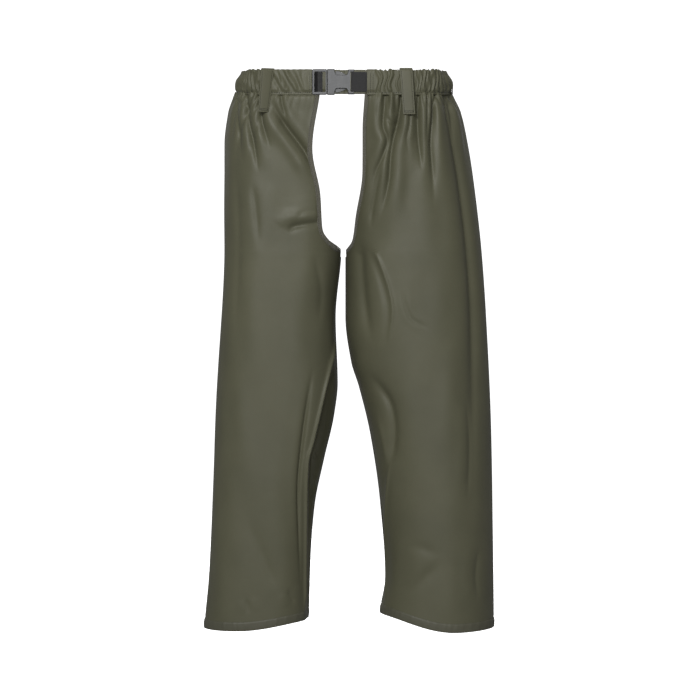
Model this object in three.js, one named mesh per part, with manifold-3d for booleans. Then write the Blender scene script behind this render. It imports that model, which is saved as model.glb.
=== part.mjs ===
// Waterproof over-trouser chaps: two open-seated legs on a gathered, elasticated waistband that a
// side-release buckle closes at the front. Millimetres, +Z up, the wearer faces -Y.
// The origin is the centre of the waist opening, at the middle of the waistband's height.
import * as THREE from 'three';
import Module from 'manifold-3d';
import { mergeVertices } from 'three/addons/utils/BufferGeometryUtils.js';

const wasm = await Module();
wasm.setup();

// ---- Driving dimensions -------------------------------------------------------------------
const waistWidth = 414;        // side to side, at the middle of the band's thickness
const waistDepth = 250;        // front to back, likewise
const waistFlat = 236;         // straight run across the front, and across the back
const waistTilt = 0.13;        // rise of the band per millimetre towards the back
const casingMargin = 2.4;      // stitched edge of the casing, above and below its tunnel
const tunnelThickness = 5.2;   // clear thickness inside the casing
const casingWall = 1.2;
const rise = 326;              // middle of the band down to the crotch
const inseam = 726;            // crotch down to the outer hem
const crotchDepth = 236;       // front to back of a leg at the crotch
const hemDepth = 190;          // front to back of a leg at the hem
const rightThigh = 228;        // leg widths, across, at the crotch and at the hem
const rightHem = 202;
const leftThigh = 264;
const leftHem = 212;
const crotchGap = 10;          // between the two legs at the crotch
const cloth = 1.2;             // coated cloth
const seamRoom = 0.6;          // between the waistband and the top of a leg
const tapeWidth = 18;
const tapeThickness = 0.6;
const hemWidth = 17;
const bindingWidth = 8;
const bindingThickness = 0.7;
const bindingRoom = 1.8;       // between the folded binding and the cloth in it
const bindingStart = 0.02;     // share of the way down from the waist seam
const elasticWidth = 34;
const elasticThickness = 1.5;
const loopWidth = 26;
const loopHeight = 84;
const loopThickness = 1.2;
const loopStandOff = 6.5;      // clear room behind a belt loop, for a belt
const webbingWidth = 37;
const webbingThickness = 1.2;
const webbingTail = 26;        // length sewn inside the casing
const webbingRoom = 3.1;       // above and below the webbing in its tunnel
const femaleStrapShown = 24;   // webbing between the female body and the left casing
const buckleLeft = -59.4;      // male frame's outer edge
const maleLength = 27.8;
const femaleLength = 50.6;
const buckleRail = 5.5;        // each side rail of the buckle, outside the webbing
const buckleThickness = 10;
const bucklePlate = 1.8;       // front and back walls of the female body
const partingGap = 0.5;
const frameBar = 3.8;          // outer crossbar's width
const middleBar = 4.6;
const middleBarThickness = 3;
const middleBarAt = 12.8;      // from the frame's outer edge to the bar's near edge
const rearBar = 4;
const rearBarThickness = 4.4;
const rearSlot = 3;
const windowStart = 13.5;      // from the female body's mouth to its side windows
const windowLength = 26;
const windowDepth = 11.2;      // how far its windows cut into the body, top and bottom
const prongReach = 35.5;
const prongInset = 10.4;       // from the body's top or bottom edge to a prong's root
const prongThickness = 4.2;
const prongHalf = 1.9;         // half the height of a prong's arm
const buttonInset = 3.8;       // from the body's edge to the button's crown
const catchHeight = 3.2;       // how far a button stands behind the catch
const snapDiameter = 11;
const snapPost = 4;
const clear = 0.3;             // gap between pieces that touch

// ---- Derived dimensions -------------------------------------------------------------------
const tunnelHeight = Math.max(webbingWidth + 2 * webbingRoom, elasticWidth + 2 * (snapPost + 2 * clear));
const bandHeight = tunnelHeight + 2 * casingMargin;
const bandThickness = tunnelThickness + 2 * casingWall;
const buckleHeight = webbingWidth + 2 * buckleRail;
const waistHalf = waistWidth / 2;
const flatHalf = waistFlat / 2;
const backY = waistDepth / 2;
const frontY = -backY;
const seamLevel = -Math.max(bandHeight, buckleHeight) / 2 - seamRoom;
const maleRight = buckleLeft + maleLength;
const femaleLeft = maleRight + partingGap;
const femaleRight = femaleLeft + femaleLength;
const rightBandEnd = -buckleLeft + 0.6;                 // distance outboard of the centre
const leftBandEnd = femaleRight + femaleStrapShown;
const windowHalf = buckleHeight / 2 - windowDepth;
const prongPivot = buckleHeight / 2 - prongInset;
const buttonOut = buckleHeight / 2 - buttonInset;
const cavityHalf = buttonOut - catchHeight;             // the cavity that the prongs lie in

// ---- Colours ------------------------------------------------------------------------------
const OLIVE = 0x5c5b4c;
const BINDING = 0x6d6a5e;
const WEBBING = 0x363637;
const PLASTIC = 0x6f7172;
const METAL = 0x8c8c88;
const ELASTIC = 0xd8d6cf;

const group = new THREE.Group();

function add(name, geometry, color, roughness = 0.6, metalness = 0) {
  const material = new THREE.MeshStandardMaterial({ color, roughness, metalness });
  const mesh = new THREE.Mesh(geometry, material);
  mesh.name = name;
  group.add(mesh);
}

// ---- Solids -------------------------------------------------------------------------------
function signedVolume(points, triangles) {
  let total = 0;
  for (const [a, b, c] of triangles) {
    total += points[a].dot(new THREE.Vector3().crossVectors(points[b], points[c]));
  }
  return total;
}

// A closed body from points and triangles that all turn the same way.
function body(points, triangles) {
  const outward = signedVolume(points, triangles) > 0;
  const index = triangles.flatMap(([a, b, c]) => (outward ? [a, b, c] : [a, c, b]));
  const geometry = new THREE.BufferGeometry();
  const numbers = points.flatMap((p) => p.toArray());
  geometry.setAttribute('position', new THREE.Float32BufferAttribute(numbers, 3));
  geometry.setIndex(index);
  return geometry;
}

function quad(a, b, c, d) {
  return [[a, b, c], [a, c, d]];
}

// A sheet between two offsets of the surface pointAt(u, v), with a corner at each u in us and v in
// vs. turn is 1 or -1 and makes the normal point outward; a closed sheet joins its last u to its
// first, a step of 1 further on.
function sheet(pointAt, us, vs, inner, outer, turn, closed = false) {
  const [across, rows] = [us.length, vs.length - 1];
  const columns = closed ? across : across - 1;
  const uStep = 0.01;
  const vStep = 0.001;
  const hold = (value, list) => Math.min(list[list.length - 1], Math.max(list[0], value));
  const shift = (u, by) => (closed ? (u + by + across) % across : hold(u + by, us));
  const points = [];
  for (const offset of [outer, inner]) {
    for (const v of vs) {
      for (const u of us) {
        const du = pointAt(shift(u, uStep), v).sub(pointAt(shift(u, -uStep), v));
        const dv = pointAt(u, hold(v + vStep, vs)).sub(pointAt(u, hold(v - vStep, vs)));
        const normal = du.cross(dv).normalize().multiplyScalar(turn * offset);
        points.push(pointAt(u, v).add(normal));
      }
    }
  }
  const layer = across * (rows + 1);
  const at = (k, i, j) => k * layer + j * across + (i % across);
  const triangles = [];
  for (let j = 0; j < rows; j++) {
    for (let i = 0; i < columns; i++) {
      triangles.push(...quad(at(0, i, j), at(0, i + 1, j), at(0, i + 1, j + 1), at(0, i, j + 1)));
      triangles.push(...quad(at(1, i, j), at(1, i, j + 1), at(1, i + 1, j + 1), at(1, i + 1, j)));
    }
  }
  for (let i = 0; i < columns; i++) {
    triangles.push(...quad(at(1, i, 0), at(1, i + 1, 0), at(0, i + 1, 0), at(0, i, 0)));
    triangles.push(...quad(at(0, i, rows), at(0, i + 1, rows), at(1, i + 1, rows), at(1, i, rows)));
  }
  for (let j = 0; j < rows && !closed; j++) {
    triangles.push(...quad(at(0, 0, j), at(0, 0, j + 1), at(1, 0, j + 1), at(1, 0, j)));
    const end = columns;
    triangles.push(...quad(at(1, end, j), at(1, end, j + 1), at(0, end, j + 1), at(0, end, j)));
  }
  return body(points, triangles);
}

// A flat outline [[a, b], ...] carried along frames, each a function (a, b) => Vector3. hole is an
// outline with as many points, which leaves a way through from end to end.
function sweep(frames, outline, hole = null) {
  const loops = hole ? [outline, hole] : [outline];
  const n = outline.length;
  const points = [];
  for (const loop of loops) {
    for (const frame of frames) points.push(...loop.map(([a, b]) => frame(a, b)));
  }
  const layer = frames.length * n;
  const at = (k, i, j) => k * layer + j * n + (i % n);
  const last = frames.length - 1;
  const triangles = [];
  for (let k = 0; k < loops.length; k++) {
    for (let j = 0; j < last; j++) {
      for (let i = 0; i < n; i++) {
        const [a, b, c, d] = [at(k, i, j), at(k, i + 1, j), at(k, i + 1, j + 1), at(k, i, j + 1)];
        triangles.push(...(k ? quad(a, d, c, b) : quad(a, b, c, d)));
      }
    }
  }
  if (hole) {
    for (let i = 0; i < n; i++) {
      triangles.push(...quad(at(0, i + 1, 0), at(0, i, 0), at(1, i, 0), at(1, i + 1, 0)));
      triangles.push(...quad(at(0, i, last), at(0, i + 1, last), at(1, i + 1, last), at(1, i, last)));
    }
  } else {
    const flat = outline.map(([a, b]) => new THREE.Vector2(a, b));
    const sense = Math.sign(THREE.ShapeUtils.area(flat));
    for (const face of THREE.ShapeUtils.triangulateShape(flat, [])) {
      const same = Math.sign(THREE.ShapeUtils.area(face.map((i) => flat[i]))) === sense;
      const [p, q, r] = same ? face : face.reverse();
      triangles.push([at(0, r, 0), at(0, q, 0), at(0, p, 0)]);
      triangles.push([at(0, p, last), at(0, q, last), at(0, r, last)]);
    }
  }
  return body(points, triangles);
}

// A cubic through [t, value] knots.
function through(knots) {
  const slope = (i) => {
    const [a, b] = [knots[Math.max(0, i - 1)], knots[Math.min(knots.length - 1, i + 1)]];
    return (b[1] - a[1]) / (b[0] - a[0]);
  };
  return (t) => {
    let i = 0;
    while (i < knots.length - 2 && t > knots[i + 1][0]) i++;
    const [[t0, v0], [t1, v1]] = [knots[i], knots[i + 1]];
    const [h, s] = [t1 - t0, THREE.MathUtils.clamp((t - t0) / (t1 - t0), 0, 1)];
    const [s2, s3] = [s * s, s * s * s];
    return (2 * s3 - 3 * s2 + 1) * v0 + (s3 - 2 * s2 + s) * h * slope(i)
      + (3 * s2 - 2 * s3) * v1 + (s3 - s2) * h * slope(i + 1);
  };
}

// A manifold-3d solid from a closed geometry, and back.
function solid(geometry) {
  const bare = geometry.clone();
  for (const name of Object.keys(bare.attributes)) {
    if (name !== 'position') bare.deleteAttribute(name);
  }
  const merged = mergeVertices(bare, 1e-4);
  const mesh = new wasm.Mesh({
    numProp: 3,
    vertProperties: new Float32Array(merged.attributes.position.array),
    triVerts: new Uint32Array(merged.index.array),
  });
  return new wasm.Manifold(mesh);
}

function geometryOf(manifold) {
  const mesh = manifold.getMesh();
  const geometry = new THREE.BufferGeometry();
  geometry.setAttribute('position', new THREE.Float32BufferAttribute(mesh.vertProperties, 3));
  geometry.setIndex(Array.from(mesh.triVerts));
  return geometry;
}

// ---- Legs ---------------------------------------------------------------------------------
// A leg is worked out in its own terms: m is the distance outboard of the centre line, level runs
// from 0 at the waist seam through 1 at the crotch to 2 at the hem, and half is -1 in front and 1
// behind. outer and inner give the two sides of the leg, and frontEdge and backEdge the opening.
const rightLeg = {
  side: -1,
  outer: through([[0, waistHalf + 2], [0.13, waistHalf + 19], [0.3, waistHalf + 26],
    [1, rightThigh + crotchGap / 2], [1.5, rightThigh + 19], [2, rightHem + 68]]),
  inner: through([[0, 0], [1, crotchGap / 2], [1.1, 13], [1.2, 17], [1.35, 14], [1.45, 20],
    [1.6, 45], [1.72, 61], [2, 69]]),
  frontEdge: through([[0, 46], [0.2, 52], [0.38, 60], [0.55, 52], [0.7, 45], [0.87, 41],
    [0.94, 29], [0.98, 13], [1, crotchGap / 2]]),
  backEdge: through([[0, 64], [0.4, 78], [0.72, 64], [0.88, 42], [0.96, 23], [1, crotchGap / 2]]),
  hemRise: 16,
  hemDrop: 0,
};
const leftLeg = {
  side: 1,
  outer: through([[0, waistHalf + 1], [0.13, waistHalf + 21], [0.3, waistHalf + 32],
    [0.6, waistHalf + 48], [1, leftThigh + crotchGap / 2], [1.3, leftThigh + 16],
    [1.6, leftThigh + 24], [2, leftHem + 79]]),
  inner: through([[0, 0], [1, crotchGap / 2], [1.2, 5], [1.32, 16], [1.45, 42], [1.6, 62],
    [1.8, 78], [1.93, 81], [2, 72]]),
  frontEdge: through([[0, 40], [0.25, 36], [0.5, 36], [0.68, 32], [0.82, 23], [0.93, 18],
    [0.98, 9], [1, crotchGap / 2]]),
  backEdge: through([[0, 62], [0.4, 70], [0.72, 56], [0.88, 36], [0.96, 20], [1, crotchGap / 2]]),
  hemRise: 26,
  hemDrop: 4,
};
const legs = { right: rightLeg, left: leftLeg };

// The plan of a leg at a level: an outer and an inner quarter ellipse with a straight run between.
function plan(leg, level) {
  const share = THREE.MathUtils.smoothstep(Math.min(level, 1), 0, 1);
  const [outer, inner] = [leg.outer(level), leg.inner(level)];
  const middle = (outer + inner) / 2;
  const half = level < 1
    ? THREE.MathUtils.lerp(waistDepth, crotchDepth, share) / 2
    : THREE.MathUtils.lerp(crotchDepth, hemDepth, level - 1) / 2;
  const flatOuter = THREE.MathUtils.lerp(flatHalf, middle, share);
  const flatInner = THREE.MathUtils.lerp(rightBandEnd, middle, share);
  return { outer, inner, half, flatOuter, flatInner };
}

const rms = (a, b) => Math.sqrt((a * a + b * b) / 2);

// The lengths of a plan's outer quarter, straight run and inner quarter, up to the edge at m = edge.
function planLengths({ outer, inner, half, flatOuter, flatInner }, edge) {
  const quarter = Math.PI / 2;
  const endAngle = edge >= flatInner
    ? quarter
    : Math.acos(THREE.MathUtils.clamp((edge - flatInner) / (flatInner - inner), -1, 1));
  const first = quarter * rms(outer - flatOuter, half);
  const straight = flatOuter - Math.max(edge, flatInner);
  const last = (endAngle - quarter) * rms(flatInner - inner, half);
  return { first, straight, last, endAngle, total: first + straight + last };
}

// A point [m, y] at the distance share u along a plan, from its outer end to the edge at m = edge.
function alongPlan(shape, edge, u) {
  const { outer, inner, half, flatOuter, flatInner } = shape;
  const { first, straight, last, endAngle, total } = planLengths(shape, edge);
  const quarter = Math.PI / 2;
  const d = u * total;
  if (d < first) {
    const angle = quarter * d / first;
    return [flatOuter + (outer - flatOuter) * Math.cos(angle), half * Math.sin(angle)];
  }
  if (last <= 0 || d < first + straight) return [flatOuter - (d - first), half];
  const angle = quarter + (d - first - straight) / last * (endAngle - quarter);
  return [flatInner + (flatInner - inner) * Math.cos(angle), half * Math.sin(angle)];
}

function edgeOf(leg, half, level) {
  if (level >= 1) return leg.inner(level);
  return half < 0 ? leg.frontEdge(level) : leg.backEdge(level);
}

// The height of a point at a level: the top follows the tilted band and the bottom the hem.
function heightAt(leg, level, m, y) {
  if (level < 1) {
    return THREE.MathUtils.lerp(seamLevel, -rise, level) + waistTilt * y * (1 - level);
  }
  const inward = (leg.outer(2) - m) / (leg.outer(2) - leg.inner(2));
  const lift = leg.hemRise * THREE.MathUtils.smoothstep(inward, 0.25, 1) ** 1.5
    - leg.hemDrop * Math.sin(Math.PI * THREE.MathUtils.clamp(inward, 0, 1));
  return -rise + (lift - inseam) * (level - 1);
}

function legPoint(leg, half, u, level) {
  const [m, y] = alongPlan(plan(leg, level), edgeOf(leg, half, level), u);
  return new THREE.Vector3(leg.side * m, half * y, heightAt(leg, level, m, half * y));
}

const outwardTurn = (leg, half) => -leg.side * half;

// The levels of a panel's rows. They crowd towards the crotch from above, where the opening turns
// fastest, and two of them are the inseam tape's top and the hem's top edge.
const upperRows = 12;
const crowding = 2.6;
const lowerRows = 8;
const tapeTop = 1 + (bindingWidth + 6) / inseam;
const hemTop = 2 - hemWidth / inseam;
const levels = [];
for (let i = 0; i <= upperRows; i++) levels.push(1 - (1 - i / upperRows) ** crowding);
for (let i = 0; i <= lowerRows; i++) levels.push(THREE.MathUtils.lerp(tapeTop, hemTop, i / lowerRows));
levels.push(2);

// A panel's columns run from the outseam to the edge, and its first and last are as wide as the
// half of a seam tape that lies on them.
const columnCount = 18;
const columns = Array.from({ length: columnCount + 1 }, (_, i) => i);

function panelLength(leg, half, level) {
  return planLengths(plan(leg, level), edgeOf(leg, half, level)).total;
}

function shareOf(leg, half, column, level) {
  const length = panelLength(leg, half, level);
  const seam = clear / 2 / length;
  const tape = tapeWidth / 2 / length;
  const { lerp } = THREE.MathUtils;
  if (column < 1) return lerp(seam, tape, column);
  if (column > columnCount - 1) return lerp(1 - tape, 1 - seam, column - columnCount + 1);
  return lerp(tape, 1 - tape, (column - 1) / (columnCount - 2));
}

function panel(leg, half) {
  const pointAt = (column, level) => legPoint(leg, half, shareOf(leg, half, column, level), level);
  return sheet(pointAt, columns, levels, -cloth / 2, cloth / 2, outwardTurn(leg, half));
}

// A tape inside a seam, from the level start down to the hem's top edge.
function seamTape(leg, atInseam, start) {
  const pointAt = (across, level) => {
    const half = across < 0 ? -1 : 1;
    const share = Math.abs(across) * tapeWidth / 2 / panelLength(leg, half, level);
    return legPoint(leg, half, atInseam ? 1 - share : share, level);
  };
  const outer = -(cloth / 2 + clear);
  const rows = levels.filter((level) => level >= start && level < hemTop).concat(hemTop - clear / inseam);
  return sheet(pointAt, [-1, 0, 1], rows, outer - tapeThickness, outer, atInseam ? leg.side : -leg.side);
}

// The turned-up hem, a ring inside the foot of a leg.
function hemBand(leg) {
  const pointAt = (column, level) => {
    const half = column < columnCount ? -1 : 1;
    const place = half < 0 ? column : 2 * columnCount - column;
    return legPoint(leg, half, shareOf(leg, half, place, level), level);
  };
  const outer = -(cloth / 2 + clear);
  const around = Array.from({ length: 2 * columnCount }, (_, i) => i);
  return sheet(pointAt, around, [hemTop, 2], outer - cloth, outer, leg.side, true);
}

// A folded tape over the edge of the opening, from the front seam under the crotch to the back.
function openingBinding(leg) {
  const down = levels.filter((level) => level < 1);
  down[0] = bindingStart;
  const stations = [
    ...down.map((level) => [-1, level]), [0, 1], ...down.reverse().map((level) => [1, level]),
  ];
  const points = stations.map(([half, level]) => legPoint(leg, half || -1, 1, level));
  const room = cloth / 2 + bindingRoom;
  const [outside, end] = [room + bindingThickness, -bindingRoom - bindingThickness];
  const outline = [
    [end, -outside], [bindingWidth, -outside], [bindingWidth, -room], [-bindingRoom, -room],
    [-bindingRoom, room], [bindingWidth, room], [bindingWidth, outside], [end, outside],
  ];
  const frames = points.map((point, i) => {
    const [half, level] = stations[i];
    const next = points[Math.min(i + 1, points.length - 1)];
    const along = next.clone().sub(points[Math.max(i - 1, 0)]).normalize();
    const share = 1 - tapeWidth / 2 / panelLength(leg, half || -1, level);
    const column = legPoint(leg, half || -1, share, level);
    const into = half ? column.sub(point) : new THREE.Vector3(0, 0, -1);
    into.addScaledVector(along, -into.dot(along)).normalize();
    const normal = along.clone().cross(into);
    return (a, b) => point.clone().addScaledVector(into, a).addScaledVector(normal, b);
  });
  return sweep(frames, outline);
}

// ---- Waistband ----------------------------------------------------------------------------
// Stations along the waist ring from the outboard distance start to the side seam, or only to the
// share stop of the way. Each station is a frame (out, up).
function ringFrames(side, half, end, startShare, stopShare, count) {
  const ring = { outer: waistHalf, inner: 0, half: backY, flatOuter: flatHalf, flatInner: 0 };
  const at = (u) => {
    const [m, y] = alongPlan(ring, end, u);
    return new THREE.Vector3(side * m, half * y, waistTilt * half * y);
  };
  const frames = [];
  for (let i = 0; i <= count; i++) {
    const u = THREE.MathUtils.lerp(startShare, stopShare, i / count);
    const before = at(Math.max(0, u - 1e-3));
    const along = at(Math.min(1, u + 1e-3)).sub(before).setZ(0).normalize();
    const out = new THREE.Vector3(-along.y, along.x, 0).multiplyScalar(-side * half);
    const point = at(u);
    frames.push((a, b) => point.clone().addScaledVector(out, a).add(new THREE.Vector3(0, 0, b)));
  }
  return frames;
}

function rectangle(halfOut, halfUp) {
  return [[-halfOut, -halfUp], [halfOut, -halfUp], [halfOut, halfUp], [-halfOut, halfUp]];
}

const ringLength = (end) => Math.PI / 2 * rms(waistHalf - flatHalf, backY) + flatHalf - end;

function casing(side, half, end) {
  const seam = clear / 2 / ringLength(end);
  const frames = ringFrames(side, half, end, seam, 1, 18);
  const tunnel = rectangle(tunnelThickness / 2, tunnelHeight / 2);
  return sweep(frames, rectangle(bandThickness / 2, bandHeight / 2), tunnel);
}

// The elastic of one side, inside both casings: a band from the webbing's tail to the back seam.
function elastic(side, frontEnd) {
  const front = ringFrames(side, -1, frontEnd, 0, 1, 12).reverse();
  const back = ringFrames(side, 1, clear, 0, 1, 16);
  return sweep([...front, ...back.slice(1)], rectangle(elasticThickness / 2, elasticWidth / 2));
}

// ---- Belt loops ---------------------------------------------------------------------------
// A closed outline of even thickness round a path of [a, b] points.
function strip(path, thickness) {
  const at = path.map(([a, b]) => new THREE.Vector2(a, b));
  const sides = [1, -1].map((way) => at.map((point, i) => {
    const before = at[Math.max(i - 1, 0)];
    const after = at[Math.min(i + 1, at.length - 1)];
    const first = (i ? point.clone().sub(before) : after.clone().sub(point)).normalize();
    const second = (i < at.length - 1 ? after.clone().sub(point) : point.clone().sub(before)).normalize();
    const tangent = first.add(second).normalize();
    const bend = Math.max(0.5, tangent.dot(second));
    const reach = way * thickness / 2 / bend;
    return [point.x - tangent.y * reach, point.y + tangent.x * reach];
  }));
  return [...sides[0], ...sides[1].reverse()];
}

// A loop at the outboard distance m, sewn to the band's top edge and to the leg below the band.
function beltLoop(leg, half, m, lean) {
  const angle = m > flatHalf ? Math.acos((m - flatHalf) / (waistHalf - flatHalf)) : Math.PI / 2;
  const spot = m > flatHalf
    ? new THREE.Vector3(leg.side * m, half * backY * Math.sin(angle), 0)
    : new THREE.Vector3(leg.side * m, half * backY, 0);
  const out = new THREE.Vector3(
    leg.side * Math.cos(angle) / (waistHalf - flatHalf), half * Math.sin(angle) / backY, 0,
  ).normalize();
  const along = new THREE.Vector3(-out.y, out.x, 0);
  const lowLevel = (loopHeight - bandHeight) / (rise + seamLevel);
  const foot = legFoot(leg, half, spot, out, lowLevel);
  const band = bandThickness / 2;
  const stand = band + loopStandOff + loopThickness / 2;
  const top = bandHeight / 2;
  const low = top - loopHeight;
  const path = [
    [band - 3, top + clear + loopThickness / 2], [band + 2, top + clear + loopThickness / 2],
    [stand, top - 3], [stand, seamLevel], [Math.max(stand, foot + 2), low + 12],
    [foot, low + 3], [foot, low - 3],
  ];
  const frames = [-1, 1].map((end) => (a, b) => {
    const aside = along.clone().multiplyScalar(end * loopWidth / 2 + lean * (b - low));
    return spot.clone().add(aside).setZ(b + waistTilt * (spot.y + aside.y)).addScaledVector(out, a);
  });
  return sweep(frames, strip(path, loopThickness));
}

// How far the leg's cloth stands outside the waist ring at a spot, plus the room for a loop's end.
function legFoot(leg, half, spot, out, level) {
  let best = -Infinity;
  for (let u = 0; u <= 1; u += 0.01) {
    for (const nearby of [level, level + 0.02]) {
      const point = legPoint(leg, half, u, nearby).setZ(0).sub(spot);
      const off = point.dot(out);
      const aside = Math.abs(point.x * out.y - point.y * out.x);
      if (aside < loopWidth / 2 + 6) best = Math.max(best, off);
    }
  }
  return best + cloth / 2 + clear + loopThickness / 2;
}

// ---- Buckle and webbing -------------------------------------------------------------------
// A shape drawn in x and z, as thick as depth in y, about the plane y = middle.
function plate(shape, depth, middle = frontY, bevel = 0) {
  const geometry = new THREE.ExtrudeGeometry(shape, {
    depth: depth - 2 * bevel, bevelEnabled: bevel > 0, bevelThickness: bevel, bevelSize: bevel,
    bevelOffset: -bevel, bevelSegments: 1, curveSegments: 6,
  });
  geometry.translate(0, 0, -(depth - 2 * bevel) / 2);
  geometry.rotateX(Math.PI / 2);
  geometry.translate(0, middle, waistTilt * frontY);
  return geometry;
}

function roundedRectangle(left, right, bottom, top, radius) {
  const shape = new THREE.Shape();
  shape.absarc(right - radius, top - radius, radius, 0, Math.PI / 2);
  shape.absarc(left + radius, top - radius, radius, Math.PI / 2, Math.PI);
  shape.absarc(left + radius, bottom + radius, radius, Math.PI, 1.5 * Math.PI);
  shape.absarc(right - radius, bottom + radius, radius, 1.5 * Math.PI, 2 * Math.PI);
  return shape;
}

const slotHalf = webbingWidth / 2 + 0.8;
const barLeft = buckleLeft + middleBarAt;
const barRight = barLeft + middleBar;
const frameThickness = 7;
const frameShoulder = 2.4;     // the bar on which the prongs and the tongue stand
const tongueReach = 22;
const tongueHalf = 4.5;
const tongueThickness = 2.2;
const shoulderGap = 1.8;       // from the catch to a button's shoulder
const tipCurve = 10;           // length over which a button narrows to its tip
const tipHeight = 0.5;         // the tip's drop below the pivot line
const windowBow = 5;           // how far a window's ends curve in
const outerRound = 3;
const innerRound = 1.5;
const cutDepth = 20;           // deeper than any part of the buckle

function maleFrame() {
  const half = buckleHeight / 2;
  const outline = roundedRectangle(buckleLeft, maleRight, -half, half, outerRound);
  const frame = solid(plate(outline, frameThickness, frontY, 0.8));
  const [windowLeft, windowRight] = [buckleLeft + frameBar, maleRight - frameShoulder];
  const window = roundedRectangle(windowLeft, windowRight, -slotHalf, slotHalf, innerRound);
  const barOutline = roundedRectangle(barLeft, barRight, -half + 1, half - 1, 1);
  const bar = solid(plate(barOutline, middleBarThickness));
  const outerBack = new THREE.BoxGeometry(frameBar + 4, 6, 2 * slotHalf);
  outerBack.translate(buckleLeft + frameBar / 2 - 1, frontY + 1.5, waistTilt * frontY);
  const tongue = roundedRectangle(
    maleRight - frameShoulder, maleRight + tongueReach, -tongueHalf, tongueHalf, 2.5,
  );
  return geometryOf(frame
    .subtract(solid(plate(window, cutDepth)))
    .add(bar)
    .subtract(solid(outerBack))
    .add(solid(plate(tongue, tongueThickness))));
}

// One side prong, with way 1 above the tongue and -1 below it: an arm, a button and a lead-in tip.
function prong(way) {
  const root = maleRight + partingGap;
  const shoulder = femaleLeft + windowStart + shoulderGap;
  const tip = root + prongReach;
  const top = prongPivot + prongHalf;
  const low = prongPivot - prongHalf;
  const shape = new THREE.Shape();
  shape.moveTo(root, way * low);
  shape.lineTo(root, way * top);
  shape.lineTo(shoulder, way * top);
  shape.lineTo(shoulder, way * buttonOut);
  shape.quadraticCurveTo(
    tip - tipCurve, way * (buttonOut + 0.6), tip, way * (prongPivot - tipHeight),
  );
  shape.lineTo(tip, way * low);
  return plate(shape, prongThickness);
}

function femaleBody() {
  const half = buckleHeight / 2;
  const [left, right] = [femaleLeft, femaleRight];
  const [windowLeft, windowRight] = [left + windowStart, left + windowStart + windowLength];
  const shape = new THREE.Shape();
  shape.moveTo(left, -half);
  shape.lineTo(windowLeft, -half);
  shape.quadraticCurveTo(windowLeft + 1, -windowHalf, windowLeft + windowBow, -windowHalf);
  shape.lineTo(windowRight - windowBow, -windowHalf);
  shape.quadraticCurveTo(windowRight - 1, -windowHalf, windowRight, -half + 1);
  shape.lineTo(right, -half + 1);
  shape.lineTo(right, half - 1);
  shape.lineTo(windowRight, half - 1);
  shape.quadraticCurveTo(windowRight - 1, windowHalf, windowRight - windowBow, windowHalf);
  shape.lineTo(windowLeft + windowBow, windowHalf);
  shape.quadraticCurveTo(windowLeft + 1, windowHalf, windowLeft, half);
  shape.lineTo(left, half);
  const cavityRight = maleRight + partingGap + prongReach + 1.5;
  const cavityDepth = buckleThickness - 2 * bucklePlate;
  const cavity = new THREE.BoxGeometry(cavityRight - left + 2, cavityDepth, 2 * cavityHalf);
  cavity.translate((cavityRight + left) / 2 - 1, frontY, waistTilt * frontY);
  const slot = roundedRectangle(right - rearBar - rearSlot, right - rearBar, -slotHalf, slotHalf, 1);
  const reliefs = [-1, 1].map((way) => {
    const box = new THREE.BoxGeometry(rearBar + 4, buckleThickness, 2 * slotHalf);
    const away = way * (buckleThickness + rearBarThickness) / 2;
    return box.translate(right - rearBar / 2 + 1, frontY + away, waistTilt * frontY);
  });
  return geometryOf(solid(plate(shape, buckleThickness, frontY, 1))
    .subtract(solid(cavity))
    .subtract(solid(plate(slot, cutDepth)))
    .subtract(solid(reliefs[0]))
    .subtract(solid(reliefs[1])));
}

// Webbing folded round a bar, its two plies running into a casing. way is -1 towards the right.
function foldedWebbing(bar, way, end) {
  const ply = webbingThickness / 2 + clear / 2;
  const [reach, round] = [bar.half, bar.thick / 2].map((size) => size + clear + webbingThickness / 2);
  const near = bar.centre + way * (bar.half + 0.8);
  const far = bar.centre - way * reach;
  const corner = 0.8;
  const path = [
    [end, bar.rest - ply], [near + way * 4.5, bar.rest - ply], [near, -round],
    [far + way * corner, -round], [far, corner - round], [far, round - corner], [far + way * corner, round],
    [near, round], [near + way * 4.5, bar.rest + ply], [end, bar.rest + ply],
  ];
  const frames = [-1, 1].map((edge) => (a, b) => new THREE.Vector3(
    a, frontY + b, waistTilt * frontY + edge * webbingWidth / 2,
  ));
  return sweep(frames, strip(path, webbingThickness));
}

// ---- Snap ---------------------------------------------------------------------------------
const snapAngle = 0.3;         // round the left corner, from the side seam towards the front
const snapHeight = -elasticWidth / 2 - snapPost / 2 - clear;

function onSnapAxis(geometry) {
  const spot = new THREE.Vector3(
    flatHalf + (waistHalf - flatHalf) * Math.cos(snapAngle), frontY * Math.sin(snapAngle),
    snapHeight + waistTilt * frontY * Math.sin(snapAngle),
  );
  const out = new THREE.Vector3(
    Math.cos(snapAngle) / (waistHalf - flatHalf), -Math.sin(snapAngle) / backY, 0,
  ).normalize();
  geometry.applyQuaternion(new THREE.Quaternion().setFromUnitVectors(new THREE.Vector3(0, 1, 0), out));
  return geometry.translate(spot.x, spot.y, spot.z);
}

function turned(profile, segments = 20) {
  return onSnapAxis(new THREE.LatheGeometry(profile.map(([r, h]) => new THREE.Vector2(r, h)), segments));
}

const snapFace = bandThickness / 2 + 0.5;

function snapCap() {
  const [r, post] = [snapDiameter / 2, snapPost / 2];
  return turned([[0, -snapFace - 1.6], [post, -snapFace - 1.6], [post, snapFace], [r, snapFace],
    [r, snapFace + 0.8], [r * 0.8, snapFace + 1.8], [0, snapFace + 2.2]]);
}

function snapSocket() {
  const [r, bore] = [snapDiameter / 2 - 0.5, snapPost / 2 + clear];
  return turned([[bore, -snapFace], [bore, -snapFace - 2.2], [r * 0.8, -snapFace - 2.2],
    [r, -snapFace - 1], [r, -snapFace], [bore, -snapFace]]);
}

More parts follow.
